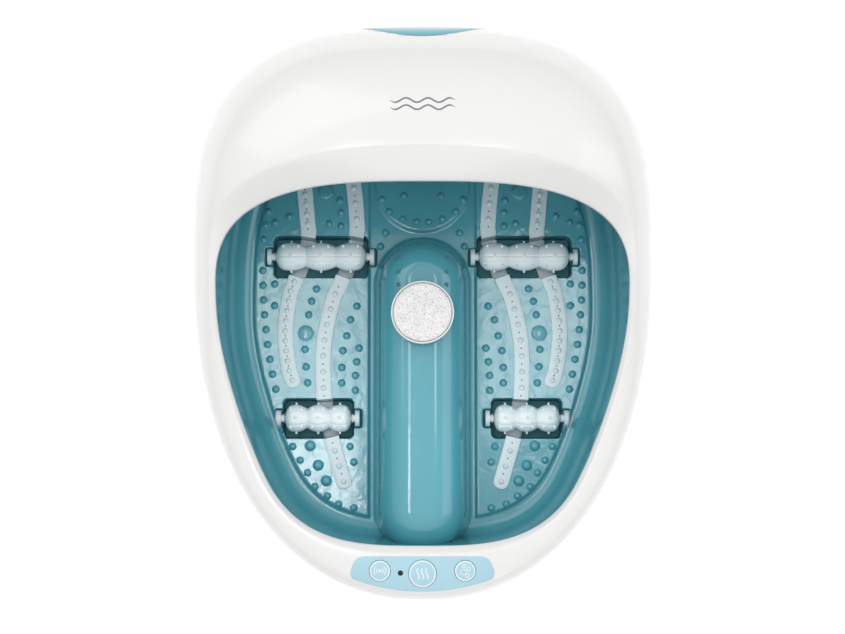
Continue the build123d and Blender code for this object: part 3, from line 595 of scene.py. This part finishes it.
x_marks = [s * v for s in (-1, 1) for v in (37.2, 44, 120, 126.8, 48.8, 55.6, 111.6, 118.4, 43)]
y_marks = [36.5, 69.5, 45.75, 60.25, -93, -62, -84.75, -70.25]
fine_step = 0.9
xs = spaced(-144, 144, fine_step, x_marks)
ys = spaced(-184, 166, fine_step, y_marks)
index, verts, faces = {}, [], []
for i, x in enumerate(xs):
    for j, y in enumerate(ys):
        z = floor_height(x, y)
        reach = lerp(-6.0, 1.2, smooth((z - FLOOR_Z) / 10)) if z > FLOOR_Z else -6.0
        if egg_inside(abs(x), y, *tub_reach(z, reach)) > 0:
            index[i, j] = len(verts)
            verts.append((x, y, z))
for i in range(len(xs) - 1):
    for j in range(len(ys) - 1):
        keys = [(i, j), (i + 1, j), (i + 1, j + 1), (i, j + 1)]
        if all(k in index for k in keys):
            faces.append([index[k] for k in keys])
tub_floor = new_object("tub_floor", verts, faces, teal, 60)
tub_floor.data.materials.append(teal_bed_painted_sheen)
tub_floor.data.materials.append(teal_recess_painted_shade)
for face in tub_floor.data.polygons:
    corners = [tub_floor.data.vertices[k].co for k in face.vertices]
    # the flat bed faces get the lighter teal with painted sheen
    if all(46.8 * MM < c.z < 47.2 * MM and abs(c.x) > 42 * MM for c in corners):
        face.material_index = 1
    # faces down in the roller pockets get the darker teal of painted shade
    if all(c.z < 43.0 * MM for c in corners):
        face.material_index = 2

# ------------------------------------------------------------------ massage nodes on the beds
dome = [(3.5, -0.2), (3.1, 0.06), (2.75, 0.35), (2.5, 0.9), (2.2, 1.5), (1.7, 2.0), (1.0, 2.32), (0.35, 2.42)]
stud = [(5.0, -0.2), (4.4, 0.08), (4.0, 0.5), (3.6, 1.4), (3.1, 2.2), (2.3, 2.9), (1.3, 3.25), (0.45, 3.35)]
cap_profile = [(6.9, -0.2), (6.7, 0.05), (6.5, 0.1), (6.35, -0.15), (6.1, -0.15), (6.0, 0.7), (5.6, 1.1)]
cap_profile += [(4.0, 1.35), (1.0, 1.45)]
outer_nodes = [(129 - 0.0012 * (42 - y) ** 2, y) for y in (42, 30, 18, 6, -6, -18, -30, -42, -54)]
toe_nodes = [(125, 90), (127, 79), (128.5, 67), (119.4, 81), (108, 86), (67, 99), (66, 89)]
toe_nodes += [(75.5, 80), (66, 78)]
arch_nodes = [(119.4, 31), (119.4, 13.5), (85.6, 27), (89.5, 17), (91.7, 6), (94.5, -22)]
arch_nodes += [(93.7, -36), (92.3, -49)]
inner_nodes = [(53, 13), (58, 2), (61, -11), (64, -23), (65, -36.5), (65, -49), (51, -21), (53, -32)]
inner_nodes += [(54, -43), (54, -55)]
heel_nodes = [(104, -100), (98, -111), (92, -121), (86, -132), (76, -139.5), (67, -146), (58, -100)]
heel_nodes += [(55, -112.5), (55, -149)]
heel_studs = [(90, -99.5), (83.5, -115), (77, -127.5)]
bed_caps = [(78.5, 106), (94, -9)]
disc_nodes = [(33, 100), (27, 90), (16, 84), (5, 81.5), (15, 103)]
gap_nodes = [(30, 73), (34, 62)]
bumps = Bunch()
for side in (-1, 1):
    for x, y in outer_nodes + toe_nodes + arch_nodes + inner_nodes + heel_nodes:
        bumps.lathe((side * x, y, BED_Z), dome)
    for x, y in heel_studs:
        bumps.lathe((side * x, y, BED_Z), stud)
    for x, y in bed_caps:
        bumps.lathe((side * x, y, BED_Z), cap_profile, 40)
    for x, y in disc_nodes:
        bumps.lathe((side * x, y, FLOOR_Z + 2), dome)
    for x, y in gap_nodes:
        bumps.lathe((side * x, y, FLOOR_Z), dome)
tub_nodes = bumps.build("tub_nodes", teal, 50)

# ------------------------------------------------------------------ air strips
def spline_points(points, count):
    """Evenly spaced points of a smooth curve through the given points."""
    full = [Vector(p) for p in points]
    full = [2 * full[0] - full[1]] + full + [2 * full[-1] - full[-2]]
    dense = []
    for k in range(1, len(full) - 2):
        p0, p1, p2, p3 = full[k - 1:k + 3]
        bend, twist = 2 * p0 - 5 * p1 + 4 * p2 - p3, 3 * p1 - p0 - 3 * p2 + p3
        for m in range(24):
            t = m / 24
            dense.append(0.5 * ((2 * p1) + (p2 - p0) * t + bend * t**2 + twist * t**3))
    dense.append(full[-2])
    lengths = [0.0]
    for a, b in zip(dense, dense[1:]):
        lengths.append(lengths[-1] + (b - a).length)
    result, m = [], 0
    for k in range(count):
        want = lengths[-1] * k / (count - 1)
        while m < len(lengths) - 2 and lengths[m + 1] < want:
            m += 1
        t = (want - lengths[m]) / (lengths[m + 1] - lengths[m])
        result.append(dense[m].lerp(dense[m + 1], t))
    return result


outer_line = [(96, 112), (93.4, 84), (92.9, 68.5), (101.9, 36.7), (107, 22), (110.6, -8)]
outer_line += [(107.5, -37), (104.3, -47)]
inner_line = [(57, 122), (53.5, 88), (54, 68.5), (64.1, 36.7), (72.6, 16.5), (79.5, -20)]
inner_line += [(78.7, -64), (73.4, -91.3), (63, -128)]
STRIP_HALF = 6.25


def strip_base(y, crossed):
    z = BED_Z
    for cx, cy, length, width in crossed:
        z = min(z, lerp(BED_Z, RECESS_Z, step_up(width / 2 - abs(y - cy) - 0.9, 1.4)))
    return z


def strip(name, points, crossed, side, node):
    line = spline_points([(side * x, y) for x, y in points], 700)
    ways = []
    for k in range(len(line)):
        ways.append((line[min(k + 1, len(line) - 1)] - line[max(k - 1, 0)]).normalized())
    rows = []
    left = [(-1, 0.0), (-1, 0.9), (-0.965, 1.25), (-0.9, 1.4), (-0.45, 1.5)]
    cross = left + [(0, 1.52)] + [(-u, h) for u, h in left[::-1]]

    def row(point, way, share, base):
        across = Vector((-way.y, way.x)) * STRIP_HALF * share
        flat = [(point + across * u, h) for u, h in cross]
        return [(q.x, q.y, base + h * min(1, share * 2)) for q, h in flat]

    for k in range(8):
        a = radians(90 * (1 - k / 8))
        rows.append(row(line[0] - ways[0] * STRIP_HALF * sin(a), ways[0], cos(a) + 0.02, BED_Z))
    for point, way in zip(line, ways):
        rows.append(row(point, way, 1.0, strip_base(point.y, crossed)))
    for k in range(1, 9):
        a = radians(90 * k / 8)
        rows.append(row(line[-1] + ways[-1] * STRIP_HALF * sin(a), ways[-1], cos(a) + 0.02, BED_Z))
    bunch = Bunch()
    bunch.grid(rows, close_columns=False)
    small = [(2.7, 1.3), (2.45, 1.55), (2.2, 1.7), (1.95, 2.15), (1.55, 2.55), (1.0, 2.75), (0.35, 2.82)]
    spots = spline_points([(side * x, y) for x, y in points], 21)
    for spot in spots:
        if all(strip_base(spot.y + d, crossed) > 46 for d in (-3, 3)):
            if strip_base(spot.y, crossed) > BED_Z - 0.1:
                bunch.lathe((spot.x, spot.y, BED_Z), small)
    obj = bunch.build(name, pale, 50)
    finish_piece(obj, "spa", "pale_blue", node)
    # the air holes are drawn as dark dots on the strip: painted shade standing in for the holes' depth
    holes = Bunch()
    for a, b in zip(spots, spots[1:]):
        middle = (a + b) / 2
        if all(strip_base(middle.y + d, crossed) > 46 for d in (-1, 1)):
            holes.lathe((middle.x, middle.y, BED_Z + 1.3), [(0.62, 0.0), (0.6, 0.26), (0.45, 0.27)], 14)
    hole_shade_dots = holes.build(name + "_air_hole_shade", dark, 40)
    finish_piece(hole_shade_dots, "spa", "dark_plastic")


for side_name, side in (("left", -1), ("right", 1)):
    strip(f"strip_outer_{side_name}", outer_line, [REAR], side, f"air_strip_outer_{side_name}")
    strip(f"strip_inner_{side_name}", inner_line, [REAR, FRONT], side, f"air_strip_inner_{side_name}")

# ------------------------------------------------------------------ massage rollers
def roller(name, centre, length, radius, body, node):
    lobe = length / 3

    def surface(m, t):
        """Radius at share t along lobe m."""
        u = 2 * t - 1
        drop = 3.2 * u * u
        if (m == 0 and u < 0) or (m == 2 and u > 0):
            drop = 1.6 * u * u + 5.4 * abs(u) ** 5
        return radius - drop

    profile = [(-length / 2, 2.7), (-length / 2, surface(0, 0) - 0.8)]
    for m in range(3):
        for k in range(19):
            profile.append((-length / 2 + (m + k / 18) * lobe, surface(m, k / 18)))
    profile += [(length / 2, surface(0, 0) - 0.8), (length / 2, 2.7)]
    steps = 80
    bunch = Bunch()
    rows = []
    for x, r in profile:
        ring = []
        for k in range(steps):
            a = 2 * pi * k / steps
            off = abs((k - 24 + 20) % 40 - 20)
            band = (0.3 if off <= 2 else -0.25 if off == 3 else 0.0) if r > 5 else 0.0
            ring.append((x + centre[0], (r + band) * cos(a) + centre[1], (r + band) * sin(a) + centre[2]))
        rows.append(ring)
    bunch.grid(rows)
    cx, cy, cz = centre
    bunch.grid([wheel(2.58, steps, cx + x, cy, cz, "X") for x in (-length / 2, length / 2)])
    for x in (-length / 2, length / 2):
        bunch.grid([wheel(r, steps, cx + x, cy, cz, "X") for r in (2.58, 2.7)])
    pin = [(1.35, -1.5), (1.25, -0.1), (0.95, 0.2), (0.85, 0.9), (0.8, 1.4), (0.6, 1.7), (0.25, 1.8)]
    for k in range(8):
        shares = (0.25, 0.75) if k % 2 else (0.5,)
        for m in range(3):
            for share in shares:
                turn = Matrix.Rotation(radians(45 * k), 3, "X")
                foot = Vector(centre) + turn @ Vector((0, 0, surface(m, share)))
                foot.x += -length / 2 + (m + share) * lobe
                bunch.lathe(foot, pin, 14, turn)
    obj = bunch.build(name, roller_blue, 40)
    finish_piece(obj, body, "pale_blue", node)


for side_name, side in (("left", -1), ("right", 1)):
    for row_name, recess, length, radius in (("rear", REAR, 72.0, 11.3), ("front", FRONT, 52.5, 10.9)):
        node = f"roller_{row_name}_{side_name}"
        body = f"roller_{row_name[0]}{side_name[0]}"
        roller(node + "_detail", (side * recess[0], recess[1], AXLE_Z), length, radius, body, node)

axle_ends = Bunch()
spool = [(4.0, 0.0), (3.4, 0.5), (2.9, 1.2), (2.75, 2.2), (2.75, 3.2), (4.5, 3.3), (4.75, 3.5), (4.75, 4.5)]
spool += [(4.5, 4.7), (2.4, 4.8), (2.2, 5.9), (1.8, 6.1)]
for side in (-1, 1):
    for cx, cy, length, width in (REAR, FRONT):
        for way in (-1, 1):
            turn = Matrix.Rotation(radians(90 * way), 3, "Y")
            axle_ends.lathe((side * cx + way * (length / 2 - 0.9), cy, AXLE_Z), spool, 32, turn)
ends_obj = axle_ends.build("axle_ends", roller_blue, 35)
finish_piece(ends_obj, "spa", "pale_blue")

# ------------------------------------------------------------------ pedicure head
PUMICE_Y = 2.0
BUSH_Z = 95.5
STEM_Z = 66.0
cup = Bunch()
cup_profile = [(6.0, STEM_Z - BUSH_Z), (6.0, 0), (10.2, 0), (10.5, 0.3), (10.7, 2), (13, 3), (20, 4.6)]
cup_profile += [(22.6, 6), (23.9, 8.4), (24.5, 11.5), (24.5, 14.2), (24.3, 14.8), (23.8, 15)]
cup_profile += [(23.3, 14.8), (23.1, 14.2), (23.0, 7.6), (0.5, 7.5)]
cup.lathe((0, PUMICE_Y, BUSH_Z), cup_profile, 96)
cup_obj = cup.build("pumice_cup", trim_white, 40)
finish_piece(cup_obj, "pedicure_head", "white_trim", "pumice_holder")

random.seed(7)
pits = []
for k in range(420):
    a, r = random.uniform(0, 2 * pi), 22.2 * sqrt(random.random())
    pits.append((r * cos(a), r * sin(a), random.uniform(0.25, 0.95), random.uniform(0.25, 0.9)))
cells = {}
for pit in pits:
    for i in range(int((pit[0] - pit[2]) // 2), int((pit[0] + pit[2]) // 2) + 1):
        for j in range(int((pit[1] - pit[2]) // 2), int((pit[1] + pit[2]) // 2) + 1):
            cells.setdefault((i, j), []).append(pit)


def stone_height(x, y):
    r = hypot(x, y)
    z = BUSH_Z + 17.0 - 0.6 * (r / 22.8) ** 2
    if r > 20.8:
        z -= 2.0 * (1 - sqrt(max(0.0, 1 - ((r - 20.8) / 2.0) ** 2)))
    z += 0.10 * sin(x * 1.9 + 3 * sin(y * 0.7)) * sin(y * 2.3 + 2 * sin(x * 0.9))
    for px, py, pr, depth in cells.get((int(x // 2), int(y // 2)), ()):
        d = hypot(x - px, y - py) / pr
        if d < 1:
            z -= depth * (1 - d * d)
    return z


STONE_STEPS = 200
stone = Bunch()
rows = []
rings = 76
for k in range(rings + 1):
    ring = wheel(0.15 + 22.6 * k / rings, STONE_STEPS)
    rows.append([(x, y + PUMICE_Y, stone_height(x, y)) for x, y, z in ring])
rows.append(wheel(22.75, STONE_STEPS, y=PUMICE_Y, z=BUSH_Z + 7.6))
stone.grid(rows)
stone.faces.append(tuple(range(STONE_STEPS)))
stone_obj = stone.build("pumice_disc", pumice_mat, 60)
finish_piece(stone_obj, "pedicure_head", "pumice", "pumice_stone")

bush = Bunch()
bush_profile = [(6.3, STEM_Z - BUSH_Z), (6.3, -0.2), (6.5, -0.05), (11.6, 0), (12, -0.3), (12.1, -2.1)]
bush.lathe((0, PUMICE_Y, BUSH_Z), bush_profile, 64)
bush.faces.pop()
bush_obj = bush.build("pumice_bush", trim_white, 40)
finish_piece(bush_obj, "spa", "white_trim", "pedicure_socket")

# ------------------------------------------------------------------ control panel
PANEL_Y, TILT = -198.5, radians(7)
# each button: place across and up the panel, radius
BUTTONS = {"massage": (-32.5, 2.0, 8.0), "heat": (0.0, -0.2, 10.5), "bubbles": (32.5, 2.0, 8.0)}
LAMP = (-16.8, 0.4)


def cover_height(x, y, low=-150.0, high=-30.0):
    """Height of the cover's outer face over a point, between two angles around the opening."""
    for _ in range(40):
        angle = (low + high) / 2
        ox, oy = body_point(angle)
        ix, iy = opening_point(angle)
        if (ix - ox) * (y - oy) - (iy - oy) * (x - ox) < 0:
            low = angle
        else:
            high = angle
    curve, width, fascia, lip, crest = rim_profile(angle, 1)
    ox, oy = body_point(angle)
    across = hypot(x - ox, y - oy)
    power = 2.3 + 1.7 * max(0.0, -sin(radians(angle))) ** 4
    share = min(1.0, across / (width - fascia))
    base = seam_z(oy)
    if share >= 1.0:
        return lerp(crest, lip, min(1.0, (across - width + fascia) / fascia))
    c = (1 - share) ** (power / 2)
    return base + (crest - base) * sqrt(max(0.0, 1 - c * c)) ** (2 / power)


def panel_xy(u, v):
    return u, PANEL_Y + v * cos(TILT)


def panel_outline(shrink, per_corner=10):
    """Rounded outline, straight above and bowed below, anticlockwise in panel coordinates."""
    half, top, side_v, bottom = 57.0, 13.2, -3.0, -14.2
    bow_r = (half**2 + (side_v - bottom) ** 2) / (2 * (side_v - bottom))
    points = []
    for k in range(41):
        u = -half + 2 * half * k / 40
        points.append(Vector((u, bottom + bow_r - sqrt(bow_r**2 - u**2))))
    points += [Vector((half - 6, top)), Vector((-half + 6, top))]
    corners = {0, 40, 41, 42}
    rounded = []
    count = len(points)
    for k, p in enumerate(points):
        if k not in corners:
            rounded.append(p)
            continue
        before, after = (points[k - 1] - p), (points[(k + 1) % count] - p)
        soft = 7.0
        far_b = before.normalized() * soft
        far_a = after.normalized() * soft
        for m in range(per_corner + 1):
            t = m / per_corner
            rounded.append((1 - t) ** 2 * (p + far_b) + 2 * t * (1 - t) * p + t**2 * (p + far_a))
    centre = Vector((0, -1.0))
    result = []
    for q in rounded:
        away = q - centre
        result.append(centre + away * (1 - shrink / away.length))
    return sorted(result, key=lambda q: -atan2((q - centre).y, (q - centre).x))[::-1]


def plate(name, outlines, holes, mat, lift, thickness, spacing, edge=0.3):
    """A thin plate that follows the cover, from an outline and round holes in panel coordinates."""
    loops = [outlines]
    for u, v, r in holes:
        loops.append([Vector((x, y)) for x, y, z in wheel(r, 48, u, v)])
    points, edges = [], []
    for loop in loops:
        start = len(points)
        points += loop
        edges += [(start + k, start + (k + 1) % len(loop)) for k in range(len(loop))]
    low_u, high_u = min(p.x for p in outlines), max(p.x for p in outlines)
    low_v, high_v = min(p.y for p in outlines), max(p.y for p in outlines)

    def inside(p):
        hit = False
        for a, b in zip(outlines, outlines[1:] + outlines[:1]):
            if (a.y > p.y) != (b.y > p.y):
                if p.x < (b.x - a.x) * (p.y - a.y) / (b.y - a.y) + a.x:
                    hit = not hit
        return hit and all(hypot(p.x - u, p.y - v) > r for u, v, r in holes)

    u = low_u
    while u < high_u:
        v = low_v
        while v < high_v:
            p = Vector((u, v))
            near = [q for q in points if abs(q.x - u) < spacing]
            if inside(p) and all((p - q).length > spacing * 0.6 for q in near):
                points.append(p)
            v += spacing
        u += spacing
    out = delaunay_2d_cdt(points, edges, [], 0, 1e-5)
    flat, tris = out[0], out[2]
    faces = [f for f in tris if inside(sum((flat[k] for k in f), Vector((0, 0))) / len(f))]
    verts = []
    for p in flat:
        x, y = panel_xy(p.x, p.y)
        verts.append((x, y, cover_height(x, y) + lift))
    obj = new_object(name, verts, faces, mat, 50)
    solid = obj.modifiers.new("thickness", "SOLIDIFY")
    solid.thickness = thickness * MM
    solid.offset = -1
    bevel = obj.modifiers.new("edge", "BEVEL")
    bevel.width = edge * MM
    bevel.segments = 2
    bevel.limit_method = "ANGLE"
    bevel.angle_limit = radians(60)
    return obj


HOLE_GAP = 0.3
overlay_holes = [(u, v, r + HOLE_GAP) for u, v, r in BUTTONS.values()] + [(*LAMP, 2.1)]
spacing = 1.6
overlay = plate("panel_overlay", panel_outline(0.3), overlay_holes, blue_panel, 0.22, 0.9, spacing)
finish_piece(overlay, "spa", "panel_blue", "control_panel_overlay")

for label, (u, v, r) in BUTTONS.items():
    x, y = panel_xy(u, v)
    hole = Bunch()
    hole.grid([wheel(r + HOLE_GAP, 48, x, y, z) for z in (100, 125)], cap=True)
    cut(cover, hole.build("tmp_cut", white))
finish_piece(cover, "spa", "white_shell", "top_cover")
finish_piece(housing, "spa", "white_shell", "lower_housing")
finish_piece(tub_wall, "spa", "teal_tub", "basin")
finish_piece(splash_wall, "spa", "teal_tub")
finish_piece(tub_floor, "spa", "teal_tub")
finish_piece(tub_nodes, "spa", "teal_tub")


def button(label, u, v, r):
    bunch = Bunch()
    rows = []
    for share in (0.02, 0.2, 0.4, 0.6, 0.75, 0.88, 0.95, 0.985, 1.0):
        ring = []
        for k in range(64):
            a = 2 * pi * k / 64
            x, y = panel_xy(u + r * share * cos(a), v + r * share * sin(a))
            crown = 0.42 - 0.25 * share**4 - (0.25 if share == 1.0 else 0.0)
            ring.append((x, y, cover_height(x, y) + crown))
        rows.append(ring)
    skirt = [(x, y, z - 3.0) for x, y, z in rows[-1]]
    rows.append(skirt)
    bunch.grid(rows)
    bunch.faces.append(tuple(range(64)))
    obj = bunch.build(f"button_{label}_cap", blue_panel, 50)
    finish_piece(obj, f"{label}_button", "panel_blue", f"button_{label}")


def printed(bunch, path, width, lift, closed=False):
    """A thin raised print line along a path in panel coordinates."""
    count = len(path)
    rows = []
    for k in range(count):
        a = path[(k - 1) % count] if closed or k else path[0]
        b = path[(k + 1) % count] if closed or k < count - 1 else path[-1]
        way = (b - a).normalized()
        across = Vector((-way.y, way.x))
        row = []
        for share, h in ((-0.5, -0.1), (-0.42, 0.03), (0.42, 0.03), (0.5, -0.1)):
            p = path[k] + across * width * share
            x, y = panel_xy(p.x, p.y)
            row.append((x, y, cover_height(x, y) + lift + h))
        rows.append(row)
    if closed:
        rows.append(rows[0])
    bunch.grid(rows, close_columns=False)


def circle(u, v, r, steps=40, start=0, end=360):
    """Points along a circle or an arc in panel coordinates; a whole circle doesn't repeat its first point."""
    count = steps if end - start == 360 else steps + 1
    turns = [radians(lerp(start, end, k / steps)) for k in range(count)]
    return [Vector((u + r * cos(turn), v + r * sin(turn))) for turn in turns]


for label, (u, v, r) in BUTTONS.items():
    button(label, u, v, r)
    bunch = Bunch()
    lift = 0.36
    printed(bunch, circle(u, v, r - 0.75, 64), 1.05, lift - 0.06, True)
    if label == "massage":
        printed(bunch, circle(u, v, 0.55, 16), 1.0, lift + 0.16, True)
        for reach in (2.5, 4.4):
            for side in (0, 180):
                printed(bunch, circle(u, v, reach, 14, side - 42, side + 42), 0.7, lift + 0.14)
    if label == "heat":
        for shift in (-3.4, 0.0, 3.4):
            shares = [k / 16 for k in range(17)]
            path = [Vector((u + shift + 0.9 * sin(2 * pi * t), v - 4.2 + 8.4 * t)) for t in shares]
            printed(bunch, path, 0.95, lift + 0.14)
    if label == "bubbles":
        for du, dv, size in ((-1.2, -0.9, 2.2), (1.9, -3.6, 1.4), (2.6, 1.3, 1.3), (-0.9, 3.9, 1.3)):
            printed(bunch, circle(u + du, v + dv, size, 24), 0.55, lift + 0.14, True)
    icon = bunch.build(f"icon_{label}", ink_white, 50)
    finish_piece(icon, f"{label}_button", "white_trim")

x, y = panel_xy(*LAMP)
lens = Bunch()
lamp_z = cover_height(x, y)
lens.lathe((x, y, lamp_z), [(2.0, -4), (2.0, 0.15), (1.9, 0.3), (1.5, 0.42), (0.8, 0.5), (0.2, 0.52)], 32)
lens_obj = lens.build("lamp_lens", lens_mat, 40)
finish_piece(lens_obj, "spa", "lens", "indicator_lens")

# ------------------------------------------------------------------ grip under the hand recess's arch
def back_y(x, z):
    """How far back the cover's outer face stands at x and z."""
    low, high = 50.0, 130.0
    for _ in range(30):
        angle = (low + high) / 2
        ox, oy = body_point(angle)
        ix, iy = opening_point(angle)
        d = Vector((ix - ox, iy - oy)).normalized()
        rise = hood_rise(iy) ** 6
        fascia, crest, base = 6.0 + 17.5 * rise, lip_z(iy) + 3.0 + 15.0 * rise, seam_z(oy)
        s = max(0.0, (z - base) / (crest - base)) ** 1.15
        across = (hypot(ix - ox, iy - oy) - fascia) * (1 - sqrt(max(0.0, 1 - s * s)) ** (2 / 2.3))
        across += housing_inset(z)
        if ox + d.x * across > x:
            low = angle
        else:
            high = angle
    return oy + d.y * across


def grip_section(x):
    """A cross-section of the grip, which fills the top of the arch flush with the hood."""
    half, top = 54.2, 160.2 + ARCH_RISE
    r = (half**2 + (top - 126) ** 2) / (2 * (top - 126))
    top = top - r + sqrt(r * r - x * x) - 0.35
    low = 127.7
    ring = []
    for k in range(17):
        share = k / 16
        z = lerp(low, top, share)
        soft = 1.6 * abs(2 * share - 1) ** 8
        ring.append((x, back_y(x, z) + 0.9 * (1 - (2 * share - 1) ** 2) - soft, z))
    for share in (1.0, 0.7, 0.4, 0.2, 0.0):
        z = lerp(low + 1, top - 0.5, share)
        ring.append((x, back_y(x, z) - 11.5, z))
    return ring


grip = Bunch()
grip.grid([grip_section(-52.5 + 2.625 * k) for k in range(41)], cap=True)
grip_obj = grip.build("handle_grip", teal, 50)
finish_piece(grip_obj, "spa", "teal_tub")

# ------------------------------------------------------------------ plain wave mark on the hood
mark = Bunch()
half = 24.0
for row_y in (148.5, 143.0):
    strokes = []
    for k in range(61):
        x = -half + 2 * half * k / 60
        strokes.append(Vector((x, row_y + 1.7 * sin(2 * pi * x / 16.0))))
    rows = []
    for k, point in enumerate(strokes):
        way = (strokes[min(k + 1, 60)] - strokes[max(k - 1, 0)]).normalized()
        across = Vector((-way.y, way.x)) * 0.75 * min(1.0, 0.15 + min(k, 60 - k) / 6)
        row = []
        for share, h in ((-1, -0.1), (-0.85, 0.06), (0.85, 0.06), (1, -0.1)):
            q = point + across * share
            row.append((q.x, q.y, cover_height(q.x, q.y, 30, 150) + h))
        rows.append(row)
    mark.grid(rows, close_columns=False)
mark_obj = mark.build("hood_wave_mark", ink_grey, 50)
finish_piece(mark_obj, "spa", "dark_plastic")

# ------------------------------------------------------------------ water slots in the ridge's shoulders, drawn as dark patches of painted shade
# each slot is a dark box just proud of the flank: painted shade, not an opening
slot_shade = Bunch()
for side in (-1, 1):
    for y in (46, 35.5, 25.5):
        x = side * 18.6
        z = ridge_height(x, y)
        lean = Matrix.Rotation(radians(side * 14), 3, "Y")
        slot_shade.box((x, y, z - 0.35), (3.4, 3.4, 1.3), 0.3, lean)
slot_shade_obj = slot_shade.build("ridge_slot_shade", teal_recess_painted_shade, 30)
finish_piece(slot_shade_obj, "spa", "teal_tub")

# ------------------------------------------------------------------ floor, light, camera
floor_mat = material("studio_floor", (0.88, 0.88, 0.88), 0.85, tint=0.01, bump=0.02)
floor_shader = floor_mat.node_tree.nodes["Principled BSDF"]
floor_shader.inputs["Emission Color"].default_value = (1, 1, 1, 1)
floor_shader.inputs["Emission Strength"].default_value = 0.3
plane = bpy.data.meshes.new("studio_floor")
plane.from_pydata([(-6, -6, 0), (6, -6, 0), (6, 6, 0), (-6, 6, 0)], [], [(0, 1, 2, 3)])
plane.materials.append(floor_mat)
floor = bpy.data.objects.new("studio_floor", plane)
bpy.context.scene.collection.objects.link(floor)
floor.location.z = -0.0002


def area_light(name, place, target, size, size_y, power):
    lamp = bpy.data.lights.new(name, "AREA")
    lamp.shape = "RECTANGLE"
    lamp.size, lamp.size_y = size, size_y
    lamp.energy = power
    obj = bpy.data.objects.new(name, lamp)
    bpy.context.scene.collection.objects.link(obj)
    obj.location = place
    obj.rotation_euler = (Vector(target) - Vector(place)).to_track_quat("-Z", "Y").to_euler()


area_light("key_softbox", (-1.0, 1.0, 1.7), (0, 0, 0.05), 1.8, 1.4, 9)
area_light("fill_softbox", (1.5, 0.1, 1.3), (0, 0, 0.05), 1.0, 1.2, 4)
area_light("front_softbox", (0.2, -1.7, 1.2), (0, 0, 0.05), 1.4, 0.6, 3)
area_light("heel_reflector", (-0.21, -0.10, 1.8), (-0.21, -0.10, 0), 0.20, 0.16, 1.0)
area_light("bed_reflector_left", (-0.20, 0.14, 1.8), (-0.20, 0.14, 0), 0.22, 0.28, 0.8)
area_light("bed_reflector_right", (0.20, 0.12, 1.8), (0.20, 0.12, 0), 0.20, 0.30, 0.8)

world = bpy.data.worlds.new("studio_world")
bpy.context.scene.world = world
world.use_nodes = True
background = world.node_tree.nodes["Background"]
sky = world.node_tree.nodes.new("ShaderNodeTexCoord")
split = world.node_tree.nodes.new("ShaderNodeSeparateXYZ")
dome_light = world.node_tree.nodes.new("ShaderNodeMapRange")
dome_light.inputs["From Min"].default_value = 0.0
dome_light.inputs["From Max"].default_value = 0.9
dome_light.inputs["To Min"].default_value = 0.32
dome_light.inputs["To Max"].default_value = 1.06
world.node_tree.links.new(sky.outputs["Generated"], split.inputs["Vector"])
world.node_tree.links.new(split.outputs["Z"], dome_light.inputs["Value"])
world.node_tree.links.new(dome_light.outputs["Result"], background.inputs["Strength"])
background.inputs["Color"].default_value = (1, 1, 1, 1)

bpy.context.scene.view_settings.view_transform = "Standard"

low, high = cad_box
camera_data = bpy.data.cameras.new("camera")
camera = bpy.data.objects.new("camera", camera_data)
bpy.context.scene.collection.objects.link(camera)
camera_data.sensor_width = 36
camera_data.lens = 81.5
camera_data.clip_end = 50
elevation, distance = radians(84.5), 1.5
target = Vector(((low[0] + high[0]) / 2, (low[1] + high[1]) / 2, 0.09))
camera.location = target + Vector((0, -cos(elevation), sin(elevation))) * distance
camera.rotation_euler = (target - camera.location).to_track_quat("-Z", "Y").to_euler()
bpy.context.scene.camera = camera
